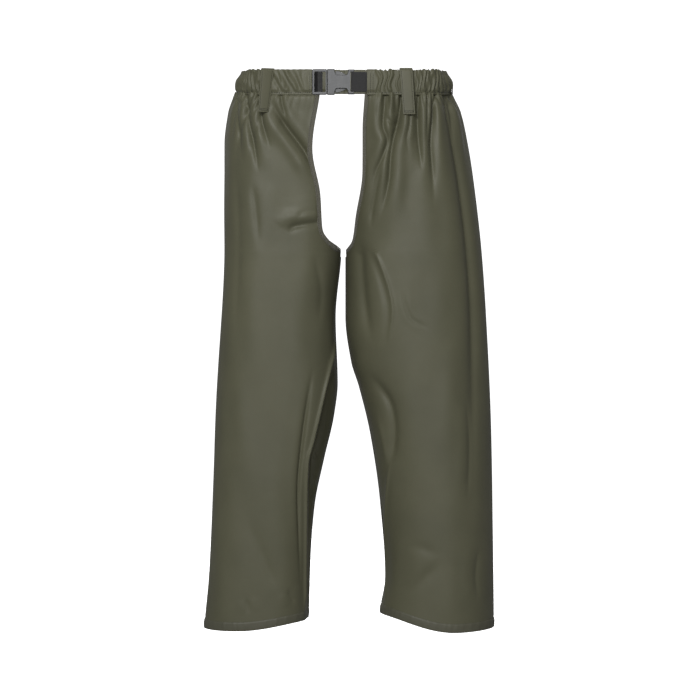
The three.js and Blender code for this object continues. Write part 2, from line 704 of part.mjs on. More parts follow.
// ---- Assembly -----------------------------------------------------------------------------
const bandEnd = { right: rightBandEnd, left: leftBandEnd };
const loopAt = { right: [146, 0.06], left: [122, 0] };    // distance outboard and lean
const backLoopAt = 104;
for (const [name, leg] of Object.entries(legs)) {
  add(`${name}_leg_front_panel`, panel(leg, -1), OLIVE);
  add(`${name}_leg_back_panel`, panel(leg, 1), OLIVE);
  add(`${name}_outseam_tape`, seamTape(leg, false, 0), OLIVE);
  add(`${name}_inseam_tape`, seamTape(leg, true, tapeTop), OLIVE);
  add(`${name}_hem_band`, hemBand(leg), OLIVE);
  add(`${name}_opening_binding`, openingBinding(leg), BINDING);
  const front = casing(leg.side, -1, bandEnd[name]);
  if (name === 'left') {
    const hole = turned([[0, -20], [snapPost / 2 + clear, -20], [snapPost / 2 + clear, 20], [0, 20]]);
    add('left_front_waistband', geometryOf(solid(front).subtract(solid(hole))), OLIVE);
  } else {
    add('right_front_waistband', front, OLIVE);
  }
  add(`${name}_back_waistband`, casing(leg.side, 1, clear / 2), OLIVE);
  add(`${name}_waist_elastic`, elastic(leg.side, bandEnd[name] + webbingTail + 2), ELASTIC, 0.9);
  add(`${name}_front_belt_loop`, beltLoop(leg, -1, ...loopAt[name]), OLIVE);
  add(`${name}_back_belt_loop`, beltLoop(leg, 1, backLoopAt, 0), OLIVE);
}

const maleBar = {
  centre: (barLeft + barRight) / 2, half: middleBar / 2, thick: middleBarThickness, rest: 0.7,
};
const femaleBar = {
  centre: femaleRight - rearBar / 2, half: rearBar / 2, thick: rearBarThickness, rest: 0,
};
add('male_strap', foldedWebbing(maleBar, -1, -(rightBandEnd + webbingTail)), WEBBING, 0.9);
add('female_strap', foldedWebbing(femaleBar, 1, leftBandEnd + webbingTail), WEBBING, 0.9);
add('buckle_male_frame', maleFrame(), PLASTIC, 0.45);
add('buckle_upper_prong', prong(1), PLASTIC, 0.45);
add('buckle_lower_prong', prong(-1), PLASTIC, 0.45);
add('buckle_female_body', femaleBody(), PLASTIC, 0.45);
add('side_snap_cap', snapCap(), METAL, 0.35, 0.9);
add('side_snap_socket', snapSocket(), METAL, 0.35, 0.9);

export default group;
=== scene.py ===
import math

import bmesh
import bpy
import numpy as np
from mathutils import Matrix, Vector


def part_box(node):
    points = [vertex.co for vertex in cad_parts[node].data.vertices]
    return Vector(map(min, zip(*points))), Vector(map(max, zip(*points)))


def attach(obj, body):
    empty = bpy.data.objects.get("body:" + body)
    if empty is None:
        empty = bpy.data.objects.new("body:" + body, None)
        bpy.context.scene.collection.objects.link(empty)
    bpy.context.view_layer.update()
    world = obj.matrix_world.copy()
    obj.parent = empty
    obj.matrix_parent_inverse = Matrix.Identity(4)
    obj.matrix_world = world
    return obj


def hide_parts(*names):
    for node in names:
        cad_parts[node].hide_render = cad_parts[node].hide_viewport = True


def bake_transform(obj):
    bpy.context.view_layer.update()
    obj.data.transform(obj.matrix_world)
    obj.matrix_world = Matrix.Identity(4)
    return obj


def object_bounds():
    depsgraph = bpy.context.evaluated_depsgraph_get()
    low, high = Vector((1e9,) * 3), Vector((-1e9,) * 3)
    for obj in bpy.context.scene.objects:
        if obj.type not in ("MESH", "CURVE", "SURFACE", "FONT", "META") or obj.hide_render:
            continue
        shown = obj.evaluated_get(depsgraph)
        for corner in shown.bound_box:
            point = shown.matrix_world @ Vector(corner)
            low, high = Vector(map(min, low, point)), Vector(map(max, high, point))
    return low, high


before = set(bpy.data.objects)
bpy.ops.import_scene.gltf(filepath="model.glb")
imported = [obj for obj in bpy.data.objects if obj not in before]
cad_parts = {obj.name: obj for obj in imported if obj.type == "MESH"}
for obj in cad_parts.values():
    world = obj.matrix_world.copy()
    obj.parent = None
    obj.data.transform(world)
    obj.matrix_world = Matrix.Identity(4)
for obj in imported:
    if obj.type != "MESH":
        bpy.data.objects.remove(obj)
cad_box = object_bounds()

MM = 0.001
RIGHT, LEFT = "right_half", "left_half"

def placed(name, data):
    """A new object with this data, in the scene."""
    thing = bpy.data.objects.new(name, data)
    bpy.context.scene.collection.objects.link(thing)
    return thing


# ---- Camera, light and stage ------------------------------------------------------------------
CAMERA_AT = Vector((0.0116, -4.0, -0.520))
FIELD = 1.358                # metres across the picture, at the plane of the side seams
SENSOR = 36.0
FLOOR_GAP = 0.16             # from the lowest hem down to the floor
WALL_TOP = 9.0


def make_camera():
    data = bpy.data.cameras.new("camera")
    data.sensor_width = SENSOR
    data.lens = SENSOR * -CAMERA_AT.y / FIELD
    data.clip_end = 60
    camera = placed("camera", data)
    camera.location = CAMERA_AT
    camera.rotation_euler = (math.pi / 2, 0, 0)
    bpy.context.scene.camera = camera


def area_light(name, place, target, size, power):
    data = bpy.data.lights.new(name, "AREA")
    data.shape = "RECTANGLE"
    data.size, data.size_y = size
    data.energy = power
    light = placed(name, data)
    light.location = place
    light.visible_camera = False
    light.rotation_euler = (Vector(target) - Vector(place)).to_track_quat("-Z", "Y").to_euler()


def make_stage():
    world = bpy.data.worlds.new("studio")
    world.use_nodes = True
    world.node_tree.nodes["Background"].inputs["Color"].default_value = (1, 1, 1, 1)
    world.node_tree.nodes["Background"].inputs["Strength"].default_value = 0.2
    bpy.context.scene.world = world
    bpy.context.scene.view_settings.view_transform = "Standard"
    area_light("key", (-0.9, -3.7, 1.1), (0, 0, -0.45), (0.9, 1.2), 86)
    area_light("front_fill", (0.5, -4.6, -0.3), (0.0, 0, -0.6), (1.0, 1.6), 24)
    area_light("overhead", (0.0, -0.8, 1.9), (0, 0, -0.2), (1.4, 1.2), 7)
    area_light("behind", (0.1, 3.0, 2.1), (0, 0, -0.5), (1.4, 1.2), 84)
    area_light("left_side", (-2.2, 3.2, 1.0), (0, 0, -0.5), (1.0, 1.4), 3)
    area_light("right_side", (2.2, 3.2, 1.0), (0, 0, -0.5), (1.0, 1.4), 3)
    # The surround: a round floor that bows up into a wall on every side.
    floor_z = cad_box[0][2] - FLOOR_GAP
    radius, bow, steps, around = 9.0, 2.0, 12, 64
    profile = [(1.0, floor_z), (radius - bow, floor_z)]
    for i in range(1, steps + 1):
        angle = math.pi / 2 * i / steps
        profile.append((radius - bow + bow * math.sin(angle), floor_z + bow * (1 - math.cos(angle))))
    profile.append((radius, WALL_TOP))
    verts = [(r * math.cos(2 * math.pi * k / around), r * math.sin(2 * math.pi * k / around), z)
             for r, z in profile for k in range(around)]
    mesh = bpy.data.meshes.new("studio_floor")
    faces = grid_faces(len(profile), around, closed=True, flip=True).tolist() + [list(range(around))]
    mesh.from_pydata(verts, [], faces)
    mesh.polygons.foreach_set("use_smooth", [True] * len(mesh.polygons))
    floor = placed("studio_floor", mesh)
    material, shader = new_material("studio_paper")
    shader.inputs["Base Color"].default_value = (0.93, 0.93, 0.93, 1)
    shader.inputs["Roughness"].default_value = 0.9
    shader.inputs["Specular IOR Level"].default_value = 0.1
    shader.inputs["Emission Color"].default_value = (1, 1, 1, 1)
    shader.inputs["Emission Strength"].default_value = 1.0
    mesh.materials.append(material)
    floor.visible_diffuse = floor.visible_glossy = floor.visible_shadow = False   # it lights nothing


# ---- Materials --------------------------------------------------------------------------------
def new_material(name):
    material = bpy.data.materials.new(name)
    material.use_nodes = True
    return material, material.node_tree.nodes["Principled BSDF"]


class Nodes:
    """Short names for the nodes of one material."""

    def __init__(self, name):
        self.material, self.shader = new_material(name)
        self.tree = self.material.node_tree
        self.place = self.add("ShaderNodeTexCoord").outputs["Object"]

    def add(self, kind, **values):
        node = self.tree.nodes.new(kind)
        for key, value in values.items():
            setattr(node, key, value)
        return node

    def link(self, source, target):
        self.tree.links.new(source, target)

    def noise(self, scale, detail, stretch=(1, 1, 1)):
        mapping = self.add("ShaderNodeMapping")
        mapping.inputs["Scale"].default_value = stretch
        self.link(self.place, mapping.inputs["Vector"])
        node = self.add("ShaderNodeTexNoise")
        node.inputs["Scale"].default_value = scale
        node.inputs["Detail"].default_value = detail
        node.inputs["Roughness"].default_value = 0.55
        self.link(mapping.outputs["Vector"], node.inputs["Vector"])
        return node.outputs["Fac"]

    def ramp(self, value, stops):
        node = self.add("ShaderNodeValToRGB")
        elements = node.color_ramp.elements
        while len(elements) < len(stops):
            elements.new(0.5)
        for element, (place, colour) in zip(elements, stops):
            element.position = place
            element.color = (*colour, 1)
        self.link(value, node.inputs["Fac"])
        return node.outputs["Color"]

    def span(self, value, low, high):
        node = self.add("ShaderNodeMapRange")
        node.inputs["To Min"].default_value = low
        node.inputs["To Max"].default_value = high
        self.link(value, node.inputs["Value"])
        return node.outputs["Result"]

    def math(self, kind, a, b=0.0):
        node = self.add("ShaderNodeMath", operation=kind)
        for socket, value in zip(node.inputs, (a, b)):
            if isinstance(value, (int, float)):
                socket.default_value = value
            else:
                self.link(value, socket)
        return node.outputs["Value"]

    def bump(self, heights):
        """heights is a list of (height socket, strength, distance in metres), finest last."""
        normal = None
        for value, strength, distance in heights:
            node = self.add("ShaderNodeBump")
            node.inputs["Strength"].default_value = strength
            node.inputs["Distance"].default_value = distance
            self.link(value, node.inputs["Height"])
            if normal is not None:
                self.link(normal, node.inputs["Normal"])
            normal = node.outputs["Normal"]
        self.link(normal, self.shader.inputs["Normal"])


def coated_cloth(name, dark, light, rough=(0.44, 0.56)):
    """Satin coated knit: a fine leathery grain over a soft mottle, with rubbed lighter patches."""
    n = Nodes(name)
    n.link(n.ramp(n.noise(9, 4), [(0.3, dark), (0.72, light)]), n.shader.inputs["Base Color"])
    n.link(n.span(n.noise(60, 3), *rough), n.shader.inputs["Roughness"])
    n.shader.inputs["Specular IOR Level"].default_value = 0.34
    n.shader.inputs["Sheen Weight"].default_value = 0.02
    n.shader.inputs["Sheen Roughness"].default_value = 0.5
    grain = n.noise(1500, 2)
    pebble = n.noise(420, 3)
    n.bump([(pebble, 0.16, 0.0004), (grain, 0.22, 0.0002)])
    return n.material


def knit_lining(name):
    """The knitted back of the coated cloth: paler, matt, with rows of fine loops."""
    n = Nodes(name)
    n.link(n.ramp(n.noise(14, 4), [(0.3, (0.20, 0.185, 0.135)), (0.75, (0.27, 0.25, 0.19))]),
           n.shader.inputs["Base Color"])
    n.shader.inputs["Roughness"].default_value = 0.9
    n.shader.inputs["Sheen Weight"].default_value = 0.3
    wave = n.add("ShaderNodeTexWave", wave_type="BANDS", bands_direction="Z")
    wave.inputs["Scale"].default_value = 260
    wave.inputs["Distortion"].default_value = 1.5
    n.link(n.place, wave.inputs["Vector"])
    n.bump([(wave.outputs["Fac"], 0.35, 0.0003), (n.noise(900, 2), 0.3, 0.0003)])
    return n.material


def woven(name, dark, light, pitch, rough=0.85, sheen=0.25):
    """Ribbed webbing or tape: yarns crossing at the pitch, in metres, with a slight heather."""
    n = Nodes(name)
    across = n.add("ShaderNodeTexWave", wave_type="BANDS", bands_direction="Z")
    along = n.add("ShaderNodeTexWave", wave_type="BANDS", bands_direction="X")
    for wave in (across, along):
        wave.inputs["Scale"].default_value = 0.314 / pitch
        wave.inputs["Distortion"].default_value = 0.6
        wave.inputs["Detail Scale"].default_value = 4
        n.link(n.place, wave.inputs["Vector"])
    yarns = n.math("MULTIPLY", across.outputs["Fac"], along.outputs["Fac"])
    heather = n.math("ADD", n.math("MULTIPLY", yarns, 0.6), n.math("MULTIPLY", n.noise(700, 3), 0.5))
    n.link(n.ramp(heather, [(0.15, dark), (0.8, light)]), n.shader.inputs["Base Color"])
    n.shader.inputs["Roughness"].default_value = rough
    n.shader.inputs["Sheen Weight"].default_value = sheen
    n.bump([(yarns, 0.6, 0.0005), (n.noise(1600, 2), 0.3, 0.0002)])
    return n.material


def moulded(name, dark, light, walls):
    """Satin moulded plastic, mottled, finely grained and scuffed. Its walls are painted darker than
    its faces, for the shade in the narrow gaps between its parts."""
    n = Nodes(name)
    split = n.add("ShaderNodeSeparateXYZ")
    n.link(n.add("ShaderNodeTexCoord").outputs["Normal"], split.inputs["Vector"])
    facing = n.add("ShaderNodeMapRange", interpolation_type="SMOOTHSTEP")
    facing.inputs["From Min"].default_value = 0.45
    facing.inputs["From Max"].default_value = 0.93
    n.link(n.math("ABSOLUTE", split.outputs["Y"]), facing.inputs["Value"])
    mix = n.add("ShaderNodeMix", data_type="RGBA")
    n.link(facing.outputs["Result"], mix.inputs["Factor"])
    mix.inputs[6].default_value = (*walls, 1)
    n.link(n.ramp(n.noise(45, 4), [(0.3, dark), (0.75, light)]), mix.inputs[7])
    n.link(mix.outputs[2], n.shader.inputs["Base Color"])
    scuffs = n.noise(160, 5, (1, 1, 0.25))
    n.link(n.span(scuffs, 0.34, 0.52), n.shader.inputs["Roughness"])
    n.shader.inputs["Specular IOR Level"].default_value = 0.5
    n.bump([(n.noise(2600, 2), 0.14, 0.0002), (scuffs, 0.05, 0.0002)])
    return n.material


def pressed_metal(name, colour):
    """Metal with a slight mottle and an uneven gloss."""
    n = Nodes(name)
    n.link(n.ramp(n.noise(220, 4), [(0.3, tuple(0.7 * c for c in colour)), (0.7, colour)]),
           n.shader.inputs["Base Color"])
    n.shader.inputs["Metallic"].default_value = 1.0
    n.link(n.span(n.noise(500, 3), 0.22, 0.4), n.shader.inputs["Roughness"])
    n.bump([(n.noise(900, 2), 0.1, 0.0002)])
    return n.material


CLOTH = coated_cloth("coated_cloth", (0.098, 0.097, 0.060), (0.115, 0.113, 0.070))
HEM_CLOTH = coated_cloth("hem_cloth", (0.088, 0.087, 0.060), (0.107, 0.105, 0.073), (0.48, 0.6))
LINING = knit_lining("knit_lining")
BINDING = woven("binding_tape", (0.105, 0.100, 0.076), (0.19, 0.183, 0.145), 0.0007, 0.8, 0.15)
TAPE = coated_cloth("welded_tape", (0.075, 0.074, 0.052), (0.092, 0.090, 0.064), (0.38, 0.48))
WEBBING = woven("charcoal_webbing", (0.018, 0.018, 0.018), (0.048, 0.048, 0.049), 0.0016)
# Painted shade: near-black webbing that stands in for the shadow deep in the buckle's slot.
PAINTED_SHADE_WEBBING = woven("shaded_webbing", (0.003, 0.003, 0.003), (0.010, 0.010, 0.010), 0.0016, 0.95, 0.05)
ELASTIC = woven("white_elastic", (0.50, 0.49, 0.46), (0.72, 0.71, 0.67), 0.0012)
PLASTIC = moulded("buckle_plastic", (0.092, 0.094, 0.097), (0.116, 0.119, 0.122), (0.010, 0.010, 0.011))
METAL = pressed_metal("snap_metal", (0.52, 0.51, 0.49))
THREAD = woven("sewing_thread", (0.008, 0.008, 0.006), (0.022, 0.021, 0.015), 0.0004, 0.8, 0.1)

# ---- Meshes -----------------------------------------------------------------------------------
def mesh_object(name, points, faces, material):
    """A smooth shaded piece; material is one material or a list."""
    mesh = bpy.data.meshes.new(name)
    mesh.from_pydata(np.asarray(points, float).reshape(-1, 3).tolist(), [], np.asarray(faces).tolist())
    mesh.polygons.foreach_set("use_smooth", [True] * len(mesh.polygons))
    for each in material if isinstance(material, (list, tuple)) else [material]:
        mesh.materials.append(each)
    mesh.validate()
    return placed(name, mesh)


def grid_faces(rows, cols, closed=False, flip=False):
    """Quads of a grid of rows by cols points; a closed one joins its last column to its first."""
    j, i = np.meshgrid(np.arange(rows - 1), np.arange(cols if closed else cols - 1), indexing="ij")
    k = (i + 1) % cols
    faces = np.stack([j * cols + i, j * cols + k, (j + 1) * cols + k, (j + 1) * cols + i], -1).reshape(-1, 4)
    return faces[:, ::-1] if flip else faces


def normals_of(grid):
    """Unit normals of a grid of points, along the columns' direction crossed with the rows'."""
    normal = np.cross(np.gradient(grid, axis=1), np.gradient(grid, axis=0))
    return normal / np.maximum(np.linalg.norm(normal, axis=-1, keepdims=True), 1e-12)


def distances(path):
    """How far along a path each of its points lies."""
    return np.concatenate([[0], np.cumsum(np.linalg.norm(np.diff(path, axis=0), axis=1))])


def values_at(places, reach, path):
    """A path's values at places along it, where reach holds its own distances."""
    return np.stack([np.interp(places, reach, path[:, a]) for a in range(path.shape[1])], -1)


def face_towards(piece, index, direction):
    """Turns the mesh over if its face at this index looks away from the direction."""
    if piece.data.polygons[index].normal.dot(Vector(direction)) < 0:
        piece.data.flip_normals()


def face_outward(mesh):
    """Turns a closed body's faces outward."""
    work = bmesh.new()
    work.from_mesh(mesh)
    bmesh.ops.recalc_face_normals(work, faces=work.faces)
    work.to_mesh(mesh)
    work.free()


def thicken(piece, thickness, inner_material=0):
    """Gives a surface thickness inward, in millimetres."""
    solid = piece.modifiers.new("thickness", "SOLIDIFY")
    solid.thickness = thickness * MM
    solid.offset = -1.0
    solid.use_even_offset = False
    solid.material_offset = inner_material


def soften(piece, width, segments=2, angle=35):
    """Rounds the edges sharper than the angle, width in millimetres."""
    bevel = piece.modifiers.new("edges", "BEVEL")
    bevel.width = width * MM
    bevel.segments = segments
    bevel.limit_method = "ANGLE"
    bevel.angle_limit = math.radians(angle)


def settled(piece):
    """The piece with its modifiers applied."""
    ready = piece.evaluated_get(bpy.context.evaluated_depsgraph_get())
    mesh = bpy.data.meshes.new_from_object(ready)
    piece.modifiers.clear()
    piece.data = mesh
    return piece


def bend_at_back(piece):
    """Applies the piece's modifiers and bakes its place into its points; it rides no body."""
    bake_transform(settled(piece))


def smoothstep(x, low, high):
    t = np.clip((np.asarray(x, float) - low) / (high - low), 0, 1)
    return t * t * (3 - 2 * t)


def through(knots):
    """A smooth curve through (place, value) knots, as a function of arrays."""
    at = np.array([k[0] for k in knots], float)
    value = np.array([k[1] for k in knots], float)
    if at[0] > at[-1]:
        at, value = at[::-1], value[::-1]
    secant = np.diff(value) / np.diff(at)
    slope = np.zeros_like(value)
    slope[0], slope[-1] = secant[0], secant[-1]
    same = secant[:-1] * secant[1:] > 0
    slope[1:-1][same] = (2 * secant[:-1] * secant[1:] / (secant[:-1] + secant[1:] + 1e-15))[same]

    def curve(x):
        x = np.clip(x, at[0], at[-1])
        i = np.clip(np.searchsorted(at, x) - 1, 0, len(at) - 2)
        h = at[i + 1] - at[i]
        s = (x - at[i]) / h
        return ((2 * s**3 - 3 * s**2 + 1) * value[i] + (s**3 - 2 * s**2 + s) * h * slope[i]
                + (3 * s**2 - 2 * s**3) * value[i + 1] + (s**3 - s**2) * h * slope[i + 1])
    return curve


# ---- The garment's plan -----------------------------------------------------------------------
# In millimetres. m is the distance outboard of the centre line, z a height at the side seam, and half
# is -1 in front and 1 behind. The waist's reach and its front ends come from the frame.
band_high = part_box("left_back_waistband")[1]
BAND_HEIGHT = 48.0
BAND_THICKNESS = 7.6
WAIST_HALF = band_high.x / MM - BAND_THICKNESS / 2
HALF_DEPTH = band_high.y / MM - BAND_THICKNESS / 2
FLAT_HALF = 118.0
TILT = 0.13
SEAM_Z = -BAND_HEIGHT / 2 - 0.6
CROTCH_Z = -326.0
CROTCH_DEPTH, HEM_DEPTH = 118.0, 95.0
RIGHT_END = -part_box("right_front_waistband")[1].x / MM
LEFT_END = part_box("left_front_waistband")[0].x / MM
BUCKLE_Z = -TILT * HALF_DEPTH
FRONT, BACK = -1, 1


def named(leg, half, what):
    """The name of a part of one half of a leg, such as left_front_waistband."""
    return f"{leg.name}_{'front' if half < 0 else 'back'}_{what}"


class Leg:
    """The drape of one leg, by knots of (height, distance outboard) down its edges."""

    def __init__(self, name, side, body, full, outer, inner, front, back, hem):
        self.name, self.side, self.body = name, side, body
        self.outer, self.inner = through(outer), through(inner)
        self.front, self.back = through(front), through(back)
        self.hem_z, self.hem_rise, self.hem_drop = hem
        self.full = full
        self.bottom = self.outer(-5000), self.inner(-5000)

    def plan(self, z):
        share = smoothstep(-z, -SEAM_Z, -CROTCH_Z)
        down = np.clip((CROTCH_Z - z) / (CROTCH_Z - self.hem_z), 0, 1)
        outer, inner = self.outer(z) - 2.0 * smoothstep(-z, 30, 120), self.inner(z)
        middle = (outer + inner) / 2
        half = np.where(z > CROTCH_Z, HALF_DEPTH + (CROTCH_DEPTH - HALF_DEPTH) * share,
                        CROTCH_DEPTH + (HEM_DEPTH - CROTCH_DEPTH) * down)
        flat_outer = FLAT_HALF + (middle - FLAT_HALF) * share
        flat_inner = RIGHT_END + (middle - RIGHT_END) * share
        return outer, inner, half, flat_outer, np.minimum(flat_inner, flat_outer)

    def lengths(self, z, half_sign):
        outer, inner, half, flat_outer, flat_inner = self.plan(z)
        edge = np.where(z > CROTCH_Z, (self.front if half_sign < 0 else self.back)(z), inner)
        cosine = np.clip((edge - flat_inner) / np.maximum(flat_inner - inner, 1e-6), -1, 1)
        cosine = np.sign(cosine) * np.abs(cosine) ** (1 / self.fullness(z))
        end = np.where(edge >= flat_inner, math.pi / 2, np.arccos(cosine))
        first = math.pi / 2 * np.sqrt(((outer - flat_outer) ** 2 + half**2) / 2)
        straight = flat_outer - np.maximum(edge, flat_inner)
        last = (end - math.pi / 2) * np.sqrt(((flat_inner - inner) ** 2 + half**2) / 2)
        return first, straight, last, end

    def fullness(self, z):
        """The power of the plan's quarters: under 1 they hang fuller than an ellipse."""
        return 1 - self.full * smoothstep(-z, 40, 240)

    def share_near(self, distance, z, half_sign, outseam):
        """The share u at a real distance in millimetres from the outseam or the inseam."""
        first, straight, last, _ = self.lengths(z, half_sign)
        half = self.plan(z)[2]
        quarter = (first if outseam else last) * 2 / math.pi
        along = quarter * (distance / half) ** (1 / self.fullness(z))
        share = along / (first + straight + last)
        return share if outseam else 1 - share

    def points(self, u, z, half_sign):
        """Points in millimetres at the share u of the way from the outseam to the edge."""
        outer, inner, half, flat_outer, flat_inner = self.plan(z)
        first, straight, last, end = self.lengths(z, half_sign)
        d = u * (first + straight + last)
        turn = np.where(d < first, math.pi / 2 * d / first,
                        math.pi / 2 + (d - first - straight) / np.maximum(last, 1e-6) * (end - math.pi / 2))
        on_flat = (d >= first) & (d <= first + straight)
        full = self.fullness(z)
        cosine, sine = np.cos(turn), np.sin(turn)
        cosine = np.sign(cosine) * np.abs(cosine) ** full
        m = np.where(d < first, flat_outer + (outer - flat_outer) * cosine,
                     flat_inner + (flat_inner - inner) * cosine)
        m = np.where(on_flat, flat_outer - (d - first), m)
        y = half_sign * half * np.where(on_flat, 1.0, np.maximum(sine, 0) ** full)
        return np.stack([self.side * m, y, self.height(z, m, y)], -1)

    def height(self, z, m, y):
        level = (SEAM_Z - z) / (SEAM_Z - CROTCH_Z)
        tilt = TILT * np.where(level < 1, 1 - 0.35 * level, 0.65 * (1 - smoothstep(level, 1, 1.5)))
        down = np.clip((CROTCH_Z - z) / (CROTCH_Z - self.hem_z), 0, 1)
        inward = (self.bottom[0] - m) / (self.bottom[0] - self.bottom[1])
        lift = (self.hem_rise * smoothstep(inward, 0.25, 1.0) ** 1.5
                - self.hem_drop * np.sin(math.pi * np.clip(inward, 0, 1)))
        return z + tilt * y + lift * down


HEM_Z = -1052.0

# Each outline has only the points where it changes its course: the flare below the band, the straight
# thigh, the knee, the calf and the hem.
RIGHT_LEG = Leg(
    "right", -1, RIGHT, 0.30,
    outer=[(20, 207), (SEAM_Z, 212), (-60, 224), (-120, 233), (-310, 233), (-600, 248), (-940, 262),
           (HEM_Z, 272)],
    inner=[(SEAM_Z, 0), (CROTCH_Z, 6), (-460, 17.5), (-590, 13.5), (-650, 20), (-740, 40), (-830, 58),
           (-930, 66), (HEM_Z, 69.5)],
    front=[(SEAM_Z, 46), (-126, 60), (-215, 45), (-283, 41), (-306, 27), (CROTCH_Z, 6)],
    back=[(SEAM_Z, 64), (-145, 78), (-240, 64), (-300, 42), (CROTCH_Z, 6)],
    hem=(HEM_Z, 16, 0))
LEFT_LEG = Leg(
    "left", 1, LEFT, 0.10,
    outer=[(20, 205), (SEAM_Z, 209), (-60, 226), (-120, 241), (-220, 256), (-330, 268), (-460, 277),
           (-690, 287), (HEM_Z, 292)],
    inner=[(SEAM_Z, 0), (CROTCH_Z, 4), (-460, 4), (-550, 15), (-600, 30), (-700, 53), (-830, 71),
           (-980, 81), (HEM_Z, 70)],
    front=[(SEAM_Z, 40), (-90, 36), (-170, 36), (-260, 23), (-305, 17), (CROTCH_Z, 4)],
    back=[(SEAM_Z, 62), (-145, 70), (-240, 56), (-300, 36), (CROTCH_Z, 4)],
    hem=(HEM_Z, 26, 4))
LEGS = (RIGHT_LEG, LEFT_LEG)

# ---- Folds ------------------------------------------------------------------------------------
def front_view(points):
    """Where points fall in the front view, in millimetres on the plane of the side seams."""
    scale = -CAMERA_AT.y / (-CAMERA_AT.y + points[..., 1] * MM)
    cx, cz = CAMERA_AT.x / MM, CAMERA_AT.z / MM
    return cx + (points[..., 0] - cx) * scale, cz + (points[..., 2] - cz) * scale


def rounded_path(knots, steps=6):
    knots = np.array(knots, float)
    if len(knots) < 3:
        return knots
    padded = np.vstack([2 * knots[0] - knots[1], knots, 2 * knots[-1] - knots[-2]])
    path = []
    for i in range(1, len(padded) - 2):
        a, b, c, d = padded[i - 1:i + 3]
        for t in np.arange(steps) / steps:
            path.append(0.5 * (2 * b + (c - a) * t + (2 * a - 5 * b + 4 * c - d) * t**2
                               + (3 * b - a - 3 * c + d) * t**3))
    return np.array(path + [knots[-1]])


def along_path(x, z, knots):
    """Signed distance from a path, positive to the left of its travel, and the share along it."""
    path = rounded_path(knots)
    steps = np.diff(path, axis=0)
    lengths = np.hypot(steps[:, 0], steps[:, 1])
    starts = np.concatenate([[0], np.cumsum(lengths)])
    best = np.full(x.shape, 1e12)
    share, sign = np.zeros(x.shape), np.ones(x.shape)
    for (ax, az), (sx, sz), length, start in zip(path, steps, lengths, starts):
        t = np.clip(((x - ax) * sx + (z - az) * sz) / max(length**2, 1e-9), 0, 1)
        dx, dz = x - ax - t * sx, z - az - t * sz
        d = dx**2 + dz**2
        near = d < best
        best = np.where(near, d, best)
        share = np.where(near, (start + t * length) / starts[-1], share)
        sign = np.where(near, np.where(sx * dz - sz * dx >= 0, 1.0, -1.0), sign)
    return np.sqrt(best) * sign, share


def crease(x, z, knots, width, depth, lobes=(0.5, 0.5), ends=(0.15, 0.4), growth=0.0):
    """A valley along a path with a rounded ridge on each side; a negative depth makes a ridge."""
    d, share = along_path(x, z, knots)
    width = width * (1 + growth * share)
    fade = smoothstep(share, 0, ends[0] + 1e-6) * (1 - smoothstep(share, 1 - ends[1] - 1e-6, 1))
    ridge = (lobes[0] * np.exp(-((d - 2.1 * width) / (1.5 * width)) ** 2)
             + lobes[1] * np.exp(-((d + 2.1 * width) / (1.5 * width)) ** 2))
    return 1.35 * depth * fade * (0.75 * ridge - 1 / (1 + (d / (0.8 * width)) ** 2) ** 2)


def fold(knots, width, depth, **more):
    """What crease is told of one fold: its path, its half width and its depth."""
    return dict(knots=knots, width=width, depth=depth, **more)


# The ridge down the right shin, inboard of which the cloth stands back.
SHIN_RIDGE = [(-11, -480), (-22, -530), (-59, -690), (-71, -740), (-75, -850), (-77, -1035)]
# The folds of the fronts, on paths in the front view.
RIGHT_FOLDS = [
    fold([(-190, -14), (-186, -70), (-174, -128), (-165, -180)], 5, 5.5, ends=(0.0, 0.4), growth=0.4),
    fold([(-207, -14), (-205, -90), (-197, -160)], 4.5, 4, ends=(0.0, 0.6), growth=0.5),
    fold([(-166, -14), (-158, -80), (-141, -134)], 4.5, 4.2, ends=(0.0, 0.4), growth=0.4),
    fold([(-140, -34), (-128, -62), (-108, -92), (-88, -118), (-70, -144), (-60, -166), (-52, -204)], 8,
         8.5, lobes=(0.3, 0.7), ends=(0.3, 0.35), growth=0.3),
    fold([(-124, -16), (-118, -50), (-108, -80)], 4.5, 3.0, ends=(0.0, 0.5)),
    fold([(-112, -294), (-100, -282), (-80, -277), (-48, -273)], 9, 4.2, lobes=(1.0, 0.0),
         ends=(0.3, 0.05)),
    fold([(-95, -262), (-75, -252), (-50, -250)], 9, 1.5, ends=(0.3, 0.1)),
    fold([(-212, -150), (-205, -300), (-212, -520)], 14, 3.2, ends=(0.3, 0.5)),
    fold([(-178, -190), (-170, -260), (-165, -330)], 12, 2.2, ends=(0.3, 0.5)),
    fold([(-58, -540), (-70, -617), (-81, -700), (-88, -780), (-87, -870), (-84, -1000)], 7, 6,
         lobes=(0.0, 0.1), ends=(0.3, 0.5), growth=-0.5),
    fold(SHIN_RIDGE, 4.2, -6.0, lobes=(0.3, 0.0), ends=(0.1, 0.02), growth=-0.3),
    fold([(-62, -722), (-54, -735)], 4, -2.5, ends=(0.3, 0.3)),
    fold([(-64, -760), (-54, -800), (-50, -835)], 3.5, -2.5, ends=(0.3, 0.3)),
    fold([(-192, -830), (-164, -905), (-126, -995)], 16, 1.5, lobes=(0.4, 0.2), ends=(0.5, 0.3)),
    fold([(-60, -330), (-44, -400), (-50, -480)], 12, 2.2, ends=(0.3, 0.4)),
    fold([(-190, -1000), (-184, -1030)], 6, 1.2, ends=(0.4, 0.2)),
    fold([(-110, -985), (-96, -1012)], 7, 1.8, ends=(0.3, 0.2)),
]
